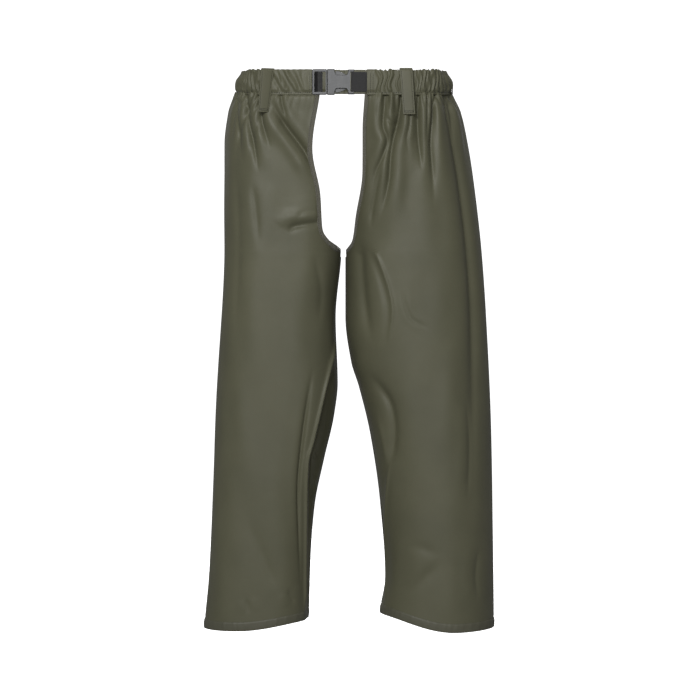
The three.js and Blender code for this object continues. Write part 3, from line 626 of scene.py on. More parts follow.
LEFT_FOLDS = [
    fold([(82, -14), (78, -50), (76, -85), (84, -114), (74, -146), (60, -180), (52, -236)], 5.5, 4.8,
         lobes=(0.4, 0.8), ends=(0.0, 0.4), growth=0.5),
    fold([(80, -64), (92, -80), (108, -86)], 6, 2.6, lobes=(0.8, 0.2), ends=(0.4, 0.4)),
    fold([(112, -14), (107, -66), (97, -106), (91, -142), (87, -190), (77, -238), (64, -282)], 5.5, 7,
         lobes=(0.7, 0.5), ends=(0.0, 0.4), growth=1.0),
    fold([(76, -150), (66, -190), (54, -250), (52, -290)], 8, 3.4, ends=(0.3, 0.3)),
    fold([(130, -14), (127, -80), (122, -112), (128, -146)], 4.5, 3.2, ends=(0.0, 0.5)),
    fold([(144, -14), (144, -86), (147, -132), (152, -182)], 5, 4.4, ends=(0.0, 0.35), growth=0.5),
    fold([(176, -14), (173, -58), (169, -116), (172, -170), (175, -250)], 5, 5.6, ends=(0.0, 0.5),
         growth=1.0),
    fold([(160, -14), (161, -80), (159, -124)], 4, 3.4, ends=(0.0, 0.5)),
    fold([(192, -16), (203, -70), (214, -120), (226, -190), (240, -300), (249, -420), (252, -560),
         (250, -720), (248, -900)], 10, 8.5, lobes=(0.3, 0.3), ends=(0.0, 0.5), growth=1.2),
    fold([(202, -16), (210, -70), (218, -124)], 4.5, 3.6, ends=(0.0, 0.5)),
    fold([(52, -314), (72, -356), (88, -405), (94, -450), (84, -520)], 4.5, -2.6, lobes=(0.0, 0.9),
         ends=(0.2, 0.4)),
    fold([(114, -404), (120, -436), (134, -462), (168, -480)], 4, 1.0, ends=(0.3, 0.3)),
    fold([(30, -300), (34, -380), (42, -450), (56, -520)], 17, 6, lobes=(0.3, 0.3), ends=(0.2, 0.4)),
    fold([(40, -560), (66, -588), (88, -624), (96, -668), (93, -715), (85, -760)], 15, 6.5,
         lobes=(0.15, 0.1), ends=(0.35, 0.3)),
    fold([(90, -735), (84, -780), (80, -850), (81, -930), (81, -1010)], 3.2, -3.0, lobes=(0.0, 0.5),
         ends=(0.15, 0.05)),
    fold([(62, -640), (74, -690), (84, -750)], 9, -2.2, ends=(0.4, 0.3)),
    fold([(106, -900), (150, -904), (196, -926)], 18, 1.2, lobes=(0.2, 0.6), ends=(0.5, 0.45)),
    fold([(196, -922), (164, -954), (116, -1006)], 22, 2.4, lobes=(0.1, 0.1), ends=(0.45, 0.45)),
    fold([(236, -600), (244, -700), (240, -820)], 7, 1.8, ends=(0.3, 0.3)),
    fold([(262, -900), (256, -960), (262, -1010)], 8, 2.0, ends=(0.3, 0.3)),
]
# The backs hang in long soft folds from waist, seat and knee, by distance outboard; no two legs alike.
RIGHT_BACK_FOLDS = [
    fold([(196, -40), (204, -170), (214, -330)], 10, 6, ends=(0.02, 0.5), growth=0.6),
    fold([(150, -40), (146, -150), (152, -280)], 8, 5.5, ends=(0.02, 0.5), growth=0.7),
    fold([(110, -40), (104, -110), (84, -190), (66, -240)], 8, 5, ends=(0.02, 0.3), growth=0.3),
    fold([(36, -330), (90, -360), (140, -420)], 14, 5, ends=(0.1, 0.6), growth=0.5),
    fold([(30, -350), (60, -430), (84, -540)], 11, 5, ends=(0.1, 0.6), growth=0.5),
    fold([(230, -560), (180, -600), (120, -610)], 13, 4, ends=(0.3, 0.4)),
    fold([(236, -640), (190, -650), (130, -690), (96, -700)], 10, 4, ends=(0.3, 0.3)),
    fold([(220, -430), (200, -620), (205, -860), (214, -1020)], 20, 5, ends=(0.3, 0.1)),
    fold([(130, -700), (126, -850), (134, -1020)], 18, 4.5, ends=(0.3, 0.1)),
]
LEFT_BACK_FOLDS = [
    fold([(206, -40), (222, -140), (240, -300), (250, -420)], 9, 6.5, ends=(0.02, 0.5), growth=0.8),
    fold([(168, -40), (160, -120), (170, -230)], 7, 5, ends=(0.02, 0.5), growth=0.6),
    fold([(128, -40), (132, -150), (118, -300), (122, -380)], 8, 5.5, ends=(0.02, 0.5), growth=0.9),
    fold([(92, -40), (88, -90), (76, -140)], 6, 4, ends=(0.02, 0.4), growth=0.3),
    fold([(24, -340), (70, -400), (96, -500), (100, -600)], 13, 6, ends=(0.1, 0.5), growth=0.4),
    fold([(30, -326), (96, -338), (160, -372)], 10, 3.5, ends=(0.1, 0.6), growth=0.6),
    fold([(262, -590), (216, -640), (150, -655), (100, -640)], 12, 4.5, ends=(0.3, 0.4)),
    fold([(250, -700), (210, -720), (160, -770)], 11, 3.5, ends=(0.3, 0.4)),
    fold([(190, -480), (176, -700), (186, -900), (180, -1020)], 19, 5.5, ends=(0.3, 0.1)),
    fold([(250, -760), (256, -880), (250, -1020)], 15, 4, ends=(0.3, 0.1)),
]

FOLDS = {("right", FRONT): RIGHT_FOLDS, ("left", FRONT): LEFT_FOLDS,
         ("right", BACK): RIGHT_BACK_FOLDS, ("left", BACK): LEFT_BACK_FOLDS}

BAND_PITCH = 10.6             # between the ruches of the band, in millimetres


class Gathers:
    """The ruches that the elastic draws in one quarter of the waist, by distance from the side."""

    def __init__(self, leg, half_sign, seed):
        self.leg, self.half_sign = leg, half_sign
        rng = np.random.default_rng(seed)
        first, straight, last, _ = leg.lengths(np.array([SEAM_Z]), half_sign)
        self.total = float((first + straight + last)[0])
        at, rows = 4.0, []
        while at < self.total - 4:
            rows.append((at, rng.uniform(2.2, 4.0), rng.uniform(0.6, 1.3), rng.uniform(26, 70),
                         rng.uniform(-9, 9)))
            at += BAND_PITCH * rng.uniform(0.72, 1.3)
        self.rows = rows
        for i in range(2, len(rows), 4):
            at, width, depth, _, drift = rows[i]
            rows[i] = (at, width + 1.2, depth * 1.2, rng.uniform(110, 210), drift)

    def strength(self, s):
        """How tightly the cloth is drawn at the distance s from the side."""
        if self.half_sign > 0:
            return 0.35 + 0.65 * (1 - smoothstep(s, self.total - 22, self.total - 6))
        if self.leg.side < 0:
            return 0.12 + 0.88 * (1 - smoothstep(s, 128, 152))
        return 0.10 + 0.90 * (1 - smoothstep(s, self.total - 46, self.total - 30))

    def height(self, s, down):
        """Height of the ruched cloth in millimetres, down millimetres below the waist seam."""
        total = np.zeros(np.broadcast(s, down).shape)
        for at, width, depth, length, drift in self.rows:
            w = width + 0.055 * np.maximum(down, 0)
            fade = 1 - smoothstep(down, 0.1 * length, length)
            centre = at + drift * np.maximum(down, 0) / 60
            total -= depth * fade * np.exp(-((s - centre) / w) ** 2)
        return 4.9 * self.strength(s) * (total + 0.4 * (1 - smoothstep(down, 10, 110)))


GATHERS = {(leg.name, half): Gathers(leg, half, seed)
           for (leg, half, seed) in [(RIGHT_LEG, -1, 11), (RIGHT_LEG, 1, 23), (LEFT_LEG, -1, 5),
                                     (LEFT_LEG, 1, 37)]}

INNER_RIDGE = through([(z, x - 2) for x, z in SHIN_RIDGE])


def inner_recess(x, z, y):
    """How far the right leg's cloth stands back, in millimetres, inboard of the ridge on its shin."""
    from_ridge = x - INNER_RIDGE(z)
    depth = 0.64 * np.abs(y) * smoothstep(-z, 530, 700)
    return depth * smoothstep(from_ridge, 1.5, 8)


def ripple(s, z, seed, amount):
    """Faint unevenness of hanging cloth: a few long, mostly upright waves."""
    rng = np.random.default_rng(seed)
    total = np.zeros(np.broadcast(s, z).shape)
    for _ in range(7):
        across, upward = rng.uniform(0.005, 0.02), rng.uniform(-0.005, 0.005)
        total += np.sin(2 * math.pi * (across * s + upward * z) + rng.uniform(0, 6.3)) * rng.uniform(0.4, 1)
    return amount * total / 4


# ---- Leg panels -------------------------------------------------------------------------------
CLOTH_THICK = 1.1
COLS, ROWS = 150, 300         # points round and down a panel
PANELS = {}                   # the points, outward normals and levels of each panel made


def panel_surface(leg, half, u, z):
    """The folded surface at shares u and heights z: points and outward normals, in millimetres."""
    base = leg.points(u, z, half)
    outward = normals_of(base)
    sense = np.sign(np.dot(outward[base.shape[0] // 2, base.shape[1] // 4],
                           np.array([leg.side * 0.5, half, 0])))
    outward = outward * sense
    first, straight, last, _ = leg.lengths(z, half)
    length = first + straight + last
    s, down = u * length, SEAM_Z - z
    gathers = GATHERS[leg.name, half]
    top_s = u * gathers.total
    height = gathers.height(top_s, down) * (1 - smoothstep(down, 180, 260))
    height += 2.0 * smoothstep(down, -2, 5) * (1 - smoothstep(down, 5, 34))
    x, zz = front_view(base)
    across, up = (x, zz) if half < 0 else (leg.side * base[..., 0], base[..., 2])
    for each in FOLDS[leg.name, half]:
        height += crease(across, up, **each) * smoothstep(s, 6, 30)
    height += ripple(s, z, 20 + half + 10 * leg.side, 1.0) * smoothstep(down, 10, 80)
    from_edge = (1 - u) * length
    open_part = smoothstep(z, CROTCH_Z - 8, CROTCH_Z + 8)
    free = np.where(z > CROTCH_Z, 0.25, 0.0) * open_part      # a free edge keeps some of its folds
    height *= free + (1 - free) * smoothstep(from_edge, 1, 18)
    height *= smoothstep(s, 0, 12)
    height *= 1 - 0.75 * smoothstep(-z, 1000, 1040)
    height -= 0.7 * np.exp(-(s / 2.5) ** 2) + 0.7 * (1 - open_part) * np.exp(-(from_edge / 2.5) ** 2)
    direction = outward * np.array([0.6, 1.0, 0.5])
    points = base + direction * height[..., None]
    if half < 0 and leg.side < 0:
        points[..., 1] += inner_recess(x, zz, base[..., 1])
    return points, outward


def panel_levels(top, bottom, count):
    """Heights from top to bottom, closest together at the waist and spreading towards the bottom."""
    t = np.linspace(0, 1, count)
    return top + (bottom - top) * (0.72 * t + 0.28 * t**2)


def make_panel(leg, half):
    name = f"{leg.name}_leg_{'front' if half < 0 else 'back'}_panel"
    z = panel_levels(SEAM_Z + 5, leg.hem_z + 2.5, ROWS)
    u = np.linspace(0, 1, COLS)
    uu, zz = np.meshgrid(u, z)
    points, outward = panel_surface(leg, half, uu, zz)
    flip = leg.side * half > 0
    shell = mesh_object(name + "_cloth", points * MM, grid_faces(ROWS, COLS, flip=flip), [CLOTH, LINING])
    face_towards(shell, ROWS // 2 * (COLS - 1) + COLS // 4, outward[ROWS // 2, COLS // 4])
    thicken(shell, CLOTH_THICK, 1)
    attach(shell, leg.body)
    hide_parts(name)
    base = leg.points(uu, zz, half)
    PANELS[leg.name, half] = (points, outward, z)


# ---- Waist casings ----------------------------------------------------------------------------
def ring_lengths(end):
    """The lengths of the waist ring's quarter turn and of its straight run up to the end."""
    first = math.pi / 2 * math.sqrt(((WAIST_HALF - FLAT_HALF) ** 2 + HALF_DEPTH**2) / 2)
    return first, FLAT_HALF - end


def ring_points(leg, half, s, offset, height):
    """Points on the waist ring s from the side, offset outward and height above its centre line."""
    first, _ = ring_lengths(0)
    turn = np.minimum(s / first, 1) * math.pi / 2
    on_flat = s > first
    a, b = WAIST_HALF - FLAT_HALF, HALF_DEPTH
    m = np.where(on_flat, FLAT_HALF - (s - first), FLAT_HALF + a * np.cos(turn))
    y = np.where(on_flat, b, b * np.sin(turn))
    nm, ny = b * np.cos(turn), a * np.sin(turn)
    nm, ny = np.where(on_flat, 0, nm), np.where(on_flat, 1, ny)
    size = np.hypot(nm, ny)
    m, y = m + offset * nm / size, y + offset * ny / size
    y = half * y
    slack = smoothstep(m, 168, 210) * smoothstep(height, -10, BAND_HEIGHT / 2) ** 1.5
    return np.stack([leg.side * (m - 11 * slack), y, height - 3.5 * slack + TILT * y], -1)


CASING_COLS = 300             # points round a casing
SIDE_ROWS = 26                # points up each face of a casing
CROWN = 2.2                   # height of its rounded top
STITCH_H = 20.3               # the tunnel's stitches, below the band's middle
# Slanting folds at the smooth right end of the band: x at its top and at its bottom, and depth.
SOFT_BAND_FOLDS = [(-148, -118, 0.9), (-124, -96, 1.3), (-104, -82, 0.8)]


def make_casing(leg, half):
    name = named(leg, half, "waistband")
    end = (RIGHT_END if leg.side < 0 else LEFT_END) if half < 0 else 0.0
    first, straight = ring_lengths(end)
    total = first + straight
    cols = CASING_COLS
    top = BAND_HEIGHT / 2
    outer_h = np.linspace(-top, top - CROWN, SIDE_ROWS)
    arch = np.linspace(0, math.pi, 9)[1:-1]
    # The cloth's line across the band: up the outside, over the top, down the inside.
    heights = np.concatenate([outer_h, top - CROWN + CROWN * np.sin(arch), outer_h[::-1]])
    sides = np.concatenate([np.ones(SIDE_ROWS), np.cos(arch), -np.ones(SIDE_ROWS)])
    s = np.linspace(0, total, cols)
    ss, hh = np.meshgrid(s, heights)
    side = np.repeat(sides[:, None], cols, 1)
    share = (hh + top) / (2 * top)
    gathers = GATHERS[leg.name, half]
    pinch = smoothstep(hh, -STITCH_H - 0.5, -STITCH_H + 6)
    crown = 1 - smoothstep(share, 0.86, 1.0)
    pillow = 0.9 + 2.6 * smoothstep(hh, -STITCH_H, -STITCH_H + 6) * (
        0.6 + 0.4 * np.sin(math.pi * np.clip(share, 0, 1))) + 0.9 * smoothstep(-hh, STITCH_H, top)
    lean = 3.0 * np.sin(2.1 * math.pi * share + ss * 0.11 + 1.7 * np.sin(ss * 0.05))
    rib = gathers.height(ss + lean * smoothstep(share, 0, 0.3), 0 * ss)
    rib = rib * np.where(side >= 0, 1.0, 0.55)
    amount = (0.45 + 0.75 * pinch * (0.4 + 0.6 * crown)) * smoothstep(ss, 0, 4)
    amount *= 1 - 0.8 * smoothstep(ss, total - 12, total)
    diagonal = np.zeros_like(ss)
    if half < 0 and leg.side < 0:
        x = -(FLAT_HALF - (ss - first))
        for low, high, depth in SOFT_BAND_FOLDS:
            centre = low + (high - low) * (1 - share) + 4
            diagonal -= depth * 2.2 * np.exp(-((x - centre) / 5.5) ** 2) * pinch
            diagonal += depth * 1.2 * np.exp(-((x - centre - 9) / 6) ** 2) * pinch
    offset = side * (pillow + rib * amount * 0.75 + diagonal * (side > 0)) + 0.3
    scallop = np.clip(share - 0.5, 0, 1) * 2 * gathers.height(ss, 0 * ss) * 0.75
    scallop *= 1 - smoothstep(ss, total - 12, total)
    least = 1.0 + 0.5 * pinch                 # the elastic stays covered on both sides
    offset = np.where(side > 0, np.maximum(offset, least), np.minimum(offset, -least * (side < 0)))
    points = ring_points(leg, half, ss, offset, hh + scallop)
    shell = mesh_object(name + "_cloth", points * MM, grid_faces(*points.shape[:2]), [CLOTH, LINING])
    middle = 12 * (cols - 1) + cols // 4
    face_towards(shell, middle, (*shell.data.polygons[middle].center[:2], 0))
    thicken(shell, 0.9, 1)
    if half < 0:
        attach(shell, leg.body)
    else:
        bend_at_back(shell)
    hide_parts(name)
    return points, s


# ---- Small sewing -----------------------------------------------------------------------------
# One stitch: shares of its length, of its radius, and how high it stands there.
STITCH = [(0, 0.25, -0.5), (0.2, 0.9, 0.6), (0.5, 1.0, 0.85), (0.8, 0.9, 0.6), (1, 0.25, -0.5)]


def stitch_row(name, path, normals, body, pitch, length, radius, sink=0.1):
    """A row of thread stitches lying on a surface along a path of points, in millimetres. It rides
    the body, or with none is baked in place, riding no body."""
    path, normals = np.asarray(path, float), np.asarray(normals, float)
    reach = distances(path)
    starts = np.arange(pitch / 2, reach[-1] - pitch / 2, pitch)
    ring = 6
    angles = np.linspace(0, 2 * math.pi, ring, endpoint=False)
    verts, faces = [], []
    for start in starts:
        base = len(verts)
        for t, size, lift in STITCH:
            at = start + t * length
            p, q = values_at(at, reach, path), values_at(at + 0.4, reach, path)
            n = values_at(at, reach, normals)
            n = n / np.linalg.norm(n)
            along = q - p
            along = along / (np.linalg.norm(along) + 1e-9)
            b = np.cross(along, n)
            centre = p + n * (radius * lift - sink)
            for a in angles:
                verts.append((centre + (b * math.cos(a) + n * math.sin(a)) * radius * size) * MM)
        for k in range(4):
            for i in range(ring):
                j = (i + 1) % ring
                faces.append((base + k * ring + i, base + k * ring + j, base + (k + 1) * ring + j,
                              base + (k + 1) * ring + i))
        faces.append(tuple(base + i for i in range(ring))[::-1])
        faces.append(tuple(base + 4 * ring + i for i in range(ring)))
    mesh = bpy.data.meshes.new(name)
    mesh.from_pydata([tuple(v) for v in verts], [], faces)
    mesh.polygons.foreach_set("use_smooth", [True] * len(faces))
    mesh.materials.append(THREAD)
    piece = placed(name, mesh)
    if body is None:
        bend_at_back(piece)
    else:
        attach(piece, body)


def tube(loops, material, name):
    """A closed body through loops of points, in millimetres, each with the same count."""
    loops = np.asarray(loops, float)
    rows, cols = loops.shape[:2]
    faces = [tuple(f) for f in grid_faces(rows, cols, closed=True)]
    faces.append(tuple(range(cols))[::-1])
    faces.append(tuple((rows - 1) * cols + i for i in range(cols)))
    mesh = bpy.data.meshes.new(name)
    mesh.from_pydata((loops.reshape(-1, 3) * MM).tolist(), [], faces)
    mesh.polygons.foreach_set("use_smooth", [True] * len(faces))
    mesh.materials.append(material)
    mesh.validate()
    piece = placed(name, mesh)
    face_outward(mesh)
    return piece


def make_binding(leg):
    """The tape folded over the opening's edge, from the front band down to the crotch and up behind."""
    edge, normal = [], []
    for half, order in ((FRONT, 1), (BACK, -1)):
        points, outward, z = PANELS[leg.name, half]
        rows = np.where((z > CROTCH_Z + 0.5) & (z < SEAM_Z + 4))[0][::order]
        edge.append(points[rows, -1])
        normal.append(outward[rows, -1])
    edge, normal = np.concatenate(edge), np.concatenate(normal)
    reach = distances(edge)
    even = np.linspace(0, reach[-1], 340)
    edge, normal = values_at(even, reach, edge), values_at(even, reach, normal)
    for _ in range(6):
        edge[1:-1] = (edge[:-2] + 2 * edge[1:-1] + edge[2:]) / 4
        normal[1:-1] = (normal[:-2] + 2 * normal[1:-1] + normal[2:]) / 4
    along = np.gradient(edge, axis=0)
    along /= np.linalg.norm(along, axis=1, keepdims=True)
    normal -= along * np.sum(normal * along, axis=1, keepdims=True)
    normal /= np.linalg.norm(normal, axis=1, keepdims=True)
    inward = np.cross(normal, along)
    inward *= np.sign(np.sum(inward[60] * np.array([leg.side, 0, 0])))
    wide, lift = 8.6, 0.95
    pucker = 0.18 * np.sin(even * 1.85)[:, None]
    deep = CLOTH_THICK
    outside = [(wide, lift * 0.7), (wide - 0.5, lift), (wide * 0.66, lift * 1.25),
               (wide * 0.33, lift * 1.15), (0.6, lift * 1.2), (-0.5, lift * 0.7), (-1.0, -deep / 2),
               (-0.5, -lift * 0.7 - deep),
               (0.6, -lift * 1.2 - deep), (wide * 0.5, -lift * 1.2 - deep), (wide - 0.5, -lift - deep),
               (wide, -lift * 0.7 - deep)]
    inside = [(wide - 0.1, -lift * 0.3 - deep), (wide * 0.5, -0.3 - deep), (0.7, -0.3 - deep),
              (-0.1, -deep / 2), (0.7, 0.3), (wide * 0.5, 0.3), (wide - 0.1, lift * 0.3)]
    section = outside + inside
    loops = np.stack([edge + inward * d + normal * (h + pucker * (0.2 < d < wide - 1))
                      for d, h in section], 1)
    piece = tube(loops, BINDING, f"{leg.name}_opening_binding_tape")
    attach(piece, leg.body)
    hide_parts(f"{leg.name}_opening_binding")
    row = edge + inward * (wide - 1.6) + normal * lift
    stitch_row(f"{leg.name}_binding_stitches", row, normal, leg.body, pitch=3.4, length=2.4, radius=0.38)


def make_hem(leg):
    """The bottom edge turned up and stitched: a flat rolled band right round the leg."""
    u = np.linspace(0, 1, 170)
    tall, levels, stitched = 20.5, 24, 15.4
    rise = np.array([17.5, 16.6, stitched, 13.5, 10, 6, 3, 1.2, 0.2])
    sheets, outs = [], []
    for half in (FRONT, BACK):
        uu, zz = np.meshgrid(u, np.linspace(leg.hem_z + 19, leg.hem_z - 1.5, levels))
        points, outward = panel_surface(leg, half, uu, zz)
        sheets.append(points if half < 0 else points[:, ::-1])
        outs.append(outward if half < 0 else outward[:, ::-1])
    points = np.concatenate([sheets[0], sheets[1][:, 1:-1]], 1)
    outward = np.concatenate([outs[0], outs[1][:, 1:-1]], 1)
    flat = outward * np.array([1, 1, 0.3])
    flat /= np.linalg.norm(flat, axis=-1, keepdims=True)

    def at(height):
        """The points and flattened normals round the leg at a height above the hem's lower edge."""
        k = np.interp(tall - height, np.linspace(0, tall, levels), np.arange(levels))
        i = int(min(k, levels - 2))
        f = k - i
        return points[i] * (1 - f) + points[i + 1] * f, flat[i] * (1 - f) + flat[i + 1] * f

    around = distances(points[10])
    rng = np.random.default_rng(4 + leg.side)
    pucker = np.zeros(points.shape[1])
    place = 4.0
    while place < around[-1]:
        pucker += rng.uniform(0.5, 1.1) * np.exp(-((around - place) / rng.uniform(2.0, 4.5)) ** 2)
        place += rng.uniform(9, 26)
    section = []
    for h in rise:
        bulge = 0.15 if h > stitched else 0.05 + 1.35 * math.sin(math.pi * min(h + 3, stitched) / 18.4) ** 0.5
        section.append((h, bulge, 1.0))
    for h in rise[::-1]:
        section.append((h, -(1.1 if 1 < h < 16 else 0.6) - CLOTH_THICK, 0.7))
    for h in (17.2, 9.0, 1.2):
        section.append((h, -0.25 - CLOTH_THICK, 0.0))
    for h in (1.2, 9.0, 17.2):
        section.append((h, 0.2, 0.0))
    loops = []
    for h, lift, share in section:
        p, f = at(h)
        wave = pucker * math.exp(-((h - 11) / 6.5) ** 2) * share
        loops.append(p + f * (lift + (wave if lift > 0 else -0.4 * wave))[:, None])
    loops = np.stack(loops, 1)
    rows, per = loops.shape[:2]
    j, i = np.meshgrid(np.arange(rows), np.arange(per), indexing="ij")
    a, b = (j + 1) % rows, (i + 1) % per
    faces = np.stack([j * per + i, j * per + b, a * per + b, a * per + i], -1).reshape(-1, 4)
    piece = mesh_object(f"{leg.name}_hem_cloth", loops * MM, faces, HEM_CLOTH)
    face_outward(piece.data)
    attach(piece, leg.body)
    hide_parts(f"{leg.name}_hem_band")
    p, f = at(stitched)
    stitch_row(f"{leg.name}_hem_stitches", p + f * 0.12, f, leg.body, pitch=3.3, length=2.3, radius=0.3)


def make_tape(leg, where):
    """A welded tape over a side seam, laid on the cloth and following its folds."""
    name = f"{leg.name}_{where}_tape"
    outseam = where == "outseam"
    top, count = (SEAM_Z + 2, 260) if outseam else (CROTCH_Z - 14, 190)
    away = (leg.side if outseam else -leg.side, 0, 0)
    z = np.linspace(top, leg.hem_z + 18, count)
    reach = 9.0
    parts = []
    for half in (FRONT, BACK):
        zz = np.repeat(z[:, None], 7, 1)
        u = leg.share_near(np.linspace(0, reach, 7)[None, :], zz, half, outseam)
        points, _ = panel_surface(leg, half, u, zz)
        base = leg.points(u, zz, half)
        out = np.cross(np.gradient(base, axis=1), np.gradient(base, axis=0))
        out /= np.linalg.norm(out, axis=-1, keepdims=True)
        out *= np.sign(np.sum(out * np.array(away), axis=-1, keepdims=True) + 1e-9)
        parts.append((points, out))
    grid = np.concatenate([parts[0][0][:, ::-1], parts[1][0][:, 1:]], 1)
    out = np.concatenate([parts[0][1][:, ::-1], parts[1][1][:, 1:]], 1)
    v = np.linspace(-1, 1, 13)
    profile = 0.75 - 0.35 * (np.abs(v) > 0.95) + 0.25 * np.exp(-(v / 0.2) ** 2)
    grid = grid + out * profile[None, :, None]
    shell = mesh_object(name + "_strip", grid * MM, grid_faces(*grid.shape[:2]), TAPE)
    face_towards(shell, len(shell.data.polygons) // 2, away)
    thicken(shell, 0.6)
    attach(shell, leg.body)
    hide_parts(name)


def make_loop(leg, half, bottom, top, width, yaw=0.0):
    """A belt loop from the top of the band to below it, a doubled strip with stitched edges.
    bottom and top are (x, z) of its middle in the view from outside, width is (bottom, top)."""
    name = named(leg, half, "belt_loop")
    rows, cols, stand_off = 70, 17, 6.0
    t = np.linspace(0, 1, rows)
    x = np.interp(t, [0, 1], [bottom[0], top[0]])
    z = np.interp(t, [0, 1], [bottom[1], top[1]])
    w = np.interp(t, [0, 0.5, 1], [width[0], (width[0] + width[1]) / 2, width[1]])
    rise = stand_off * (smoothstep(t, 0.08, 0.3) * (1 - smoothstep(t, 0.93, 1.0)))
    v = np.linspace(-1, 1, cols)
    corner = np.maximum(np.abs(x) - FLAT_HALF, 0) / (WAIST_HALF - FLAT_HALF)
    reach = HALF_DEPTH * np.sqrt(np.clip(1 - corner**2, 0, 1)) + 4.2 + rise
    cloth = PANELS[leg.name, half][0]
    for i in range(rows):
        under = (np.abs(cloth[..., 0] - x[i]) < w[i] / 2 + 1) & (np.abs(cloth[..., 2] - z[i]) < 4)
        if under.any():
            reach[i] = max(reach[i], (half * cloth[..., 1])[under].max() + 2.6)
    for _ in range(400):                      # it hangs taut over whatever stands highest
        reach[1:-1] = np.maximum(reach[1:-1], (reach[:-2] + reach[2:]) / 2)
    across = w[:, None] / 2 * v
    grid = np.stack([x[:, None] + across * math.cos(yaw),
                     across * math.sin(yaw) - reach[:, None] - 0.45 * (1 - v**2),
                     np.repeat(z[:, None], cols, 1)], -1)
    grid[..., 1] += 0.35 * np.exp(-((np.abs(v) - 0.8) / 0.08) ** 2)[None, :]
    if half > 0:
        grid[..., 1] *= -1
    shell = mesh_object(name + "_strip", grid * MM, grid_faces(rows, cols), CLOTH)
    face_towards(shell, rows * cols // 2, (0, half, 0))
    thicken(shell, 2.0)
    soften(shell, 0.5)
    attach(shell, leg.body)
    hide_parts(name)
    out = np.array([0, half, 0.0])
    for k, column in enumerate((2, cols - 3)):
        path = grid[2:-2, column]
        stitch_row(f"{name}_edge_stitches_{k}", path, np.tile(out, (len(path), 1)), leg.body, pitch=3.4,
                   length=2.4, radius=0.42)
    for k, row in enumerate((3, 5)):
        path = grid[row, 1:-1]
        stitch_row(f"{name}_bar_stitches_{k}", path, np.tile(out, (len(path), 1)), leg.body, pitch=1.6,
                   length=1.5, radius=0.45)


# ---- Straps, elastic and buckle ---------------------------------------------------------------
def make_webbing(name, node, path, width, body, z, painted_shade_x=None):
    """A flat ribbed strap along a path of (x, y), in millimetres, upright and width high. What
    lies at lower x than the x given for the shade is painted near black: painted shade for the depth of the
    slot it is in."""
    path = rounded_path(path, 8)
    reach = distances(path)
    even = np.arange(0, reach[-1], 0.45)
    path = values_at(even, reach, path)
    along = np.gradient(path, axis=0)
    along /= np.linalg.norm(along, axis=1, keepdims=True)
    normal = np.stack([along[:, 1], -along[:, 0]], -1)
    v = np.linspace(-1, 1, 47)
    rib = 0.10 * np.abs(np.sin(np.pi * 11.5 * (v + 1)))[None, :] + 0.07 * np.sin(even * 4.2)[:, None]
    edge = np.where(np.abs(v) > 0.93, -0.12, 0.0)[None, :]
    lift = 0.55 + rib + edge
    points = []
    for side in (1, -1):
        xy = path[:, None, :] + side * normal[:, None, :] * lift[..., None]
        zz = np.broadcast_to(z + v[None, :] * width / 2, xy.shape[:2])
        points.append(np.concatenate([xy, zz[..., None]], -1))
    loops = np.concatenate([points[0], points[1][:, ::-1]], 1)
    piece = tube(loops, WEBBING, name)
    # Faces at lower x than the given x get the near-black painted shade of the slot.
    if painted_shade_x is not None:
        piece.data.materials.append(PAINTED_SHADE_WEBBING)
        for face in piece.data.polygons:
            face.material_index = int(face.center.x < painted_shade_x * MM)
    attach(piece, body)
    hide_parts(node)


def make_elastic(leg):
    """The elastic inside both casings of a leg, ribbed along its length."""
    name = f"{leg.name}_waist_elastic"
    end = (RIGHT_END if leg.side < 0 else LEFT_END) + 3
    first, _ = ring_lengths(0)
    front_total = first + FLAT_HALF - end
    back_total = first + FLAT_HALF
    front_s, back_s = np.linspace(front_total, 0, 170), np.linspace(0, back_total, 180)[1:]
    s = np.concatenate([front_s, back_s])
    half = np.concatenate([np.full(len(front_s), -1.0), np.full(len(back_s), 1.0)])
    v = np.linspace(-17, 17, 35)
    rib = 0.18 * np.sin(v * math.pi / 1.6)
    rows = []
    for side in (1, -1):
        off = side * (0.6 + 0.1 * side * rib)
        grid = np.stack([ring_points(leg, 1.0, s, o, 0 * s + h) for o, h in zip(off, v)], 1)
        grid[..., 1] = np.abs(grid[..., 1]) * half[:, None]
        grid[..., 2] = np.where(half[:, None] > 0, grid[..., 2], grid[..., 2] + 2 * TILT * grid[..., 1])
        rows.append(grid)
    loops = np.concatenate([rows[0], rows[1][:, ::-1]], 1)
    piece = tube(loops, ELASTIC, name + "_band")
    bend_at_back(piece)
    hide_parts(name)


def make_moulded(node, body, material, radius, segments=3):
    """A rigid part with its CAD shape, its edges rounded as a mould rounds them."""
    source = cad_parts[node]
    mesh = source.data.copy()
    mesh.name = node + "_moulding"
    work = bmesh.new()
    work.from_mesh(mesh)
    bmesh.ops.remove_doubles(work, verts=work.verts, dist=2e-6)
    bmesh.ops.dissolve_limit(work, angle_limit=math.radians(1.5), verts=work.verts, edges=work.edges)
    work.to_mesh(mesh)
    work.free()
    mesh.materials.clear()
    mesh.materials.append(material)
    mesh.polygons.foreach_set("use_smooth", [True] * len(mesh.polygons))
    piece = placed(node + "_moulding", mesh)
    soften(piece, radius, segments, 25)
    weighted = piece.modifiers.new("shading", "WEIGHTED_NORMAL")
    weighted.keep_sharp = True
    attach(piece, body)
    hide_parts(node)


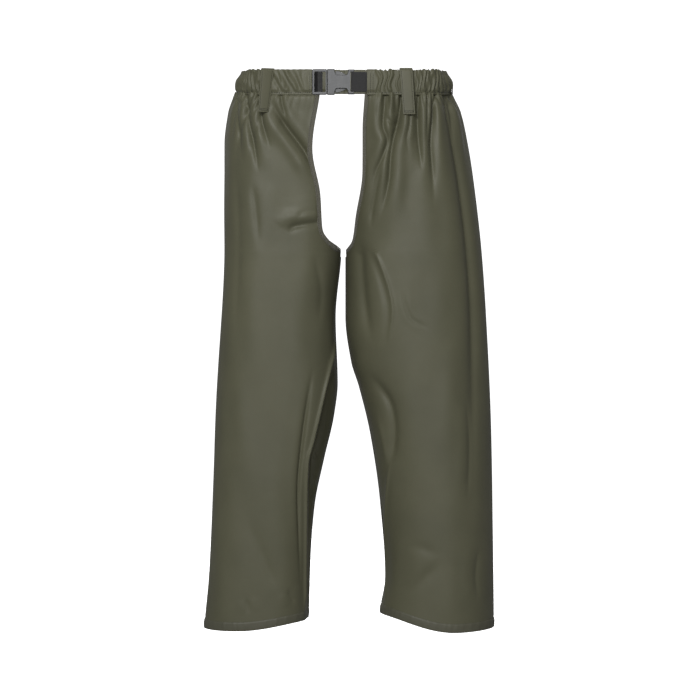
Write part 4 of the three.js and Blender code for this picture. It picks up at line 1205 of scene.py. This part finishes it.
# ---- Assembly ---------------------------------------------------------------------------------
make_camera()
make_stage()
for leg in LEGS:
    for half in (FRONT, BACK):
        make_panel(leg, half)
    for half in (FRONT, BACK):
        points, s = make_casing(leg, half)
        outer = points[2]
        normal = ring_points(leg, half, s, 0 * s + 1, 0 * s) - ring_points(leg, half, s, 0 * s, 0 * s)
        stitch_row(named(leg, half, "band_stitches"), outer + normal * 0.1, normal,
                   leg.body if half < 0 else None, pitch=4.4, length=3.0, radius=0.48)
        if half < 0:
            for k, column in enumerate((-9, -15) if leg.side > 0 else (-6,)):
                path = points[2:23, column]
                stitch_row(f"{leg.name}_band_end_stitches_{k}", path,
                           np.tile((0.0, -1.0, 0.0), (len(path), 1)), leg.body, pitch=3.6, length=2.6,
                           radius=0.42, sink=0.05)
    make_binding(leg)
    make_hem(leg)
    make_tape(leg, "outseam")
    make_tape(leg, "inseam")
    make_elastic(leg)
make_loop(RIGHT_LEG, FRONT, (-151, -73), (-142.5, 10), (20, 25), yaw=0.25)
make_loop(LEFT_LEG, FRONT, (122.6, -78), (116.5, 10), (23, 24))
make_loop(RIGHT_LEG, BACK, (-104, -48), (-104, 42), (24, 24))
make_loop(LEFT_LEG, BACK, (104, -48), (104, 42), (24, 24))

male_y = -HALF_DEPTH
bar_x = -46.6
make_webbing("male_webbing", "male_strap",
             [(-86, male_y + 0.9), (-62, male_y + 1.2), (-54, male_y + 2.4), (bar_x - 1, male_y + 2.3),
              (bar_x + 4.8, male_y + 1.8), (bar_x + 6.0, male_y), (bar_x + 4.8, male_y - 1.8),
              (bar_x, male_y - 2.7), (-50.0, male_y - 1.6), (-54, male_y + 0.9), (-62, male_y - 0.6),
              (-86, male_y - 0.3)],
             37, RIGHT, BUCKLE_Z, painted_shade_x=-49.2)
make_webbing("female_webbing", "female_strap",
             [(69, male_y + 0.9), (48, male_y + 1.0), (25, male_y + 2.7), (18, male_y + 2.7),
              (14.8, male_y + 1.6), (14.2, male_y), (14.8, male_y - 1.6), (18, male_y - 2.7),
              (25, male_y - 2.7), (38, male_y - 2.3), (46, male_y - 0.9), (69, male_y - 0.3)], 37, LEFT,
             BUCKLE_Z)
make_moulded("buckle_male_frame", RIGHT, PLASTIC, 0.8)
make_moulded("buckle_female_body", LEFT, PLASTIC, 0.9)
make_moulded("buckle_upper_prong", "upper_prong", PLASTIC, 0.6)
make_moulded("buckle_lower_prong", "lower_prong", PLASTIC, 0.6)
make_moulded("side_snap_cap", LEFT, METAL, 0.3, 2)
make_moulded("side_snap_socket", LEFT, METAL, 0.2, 2)
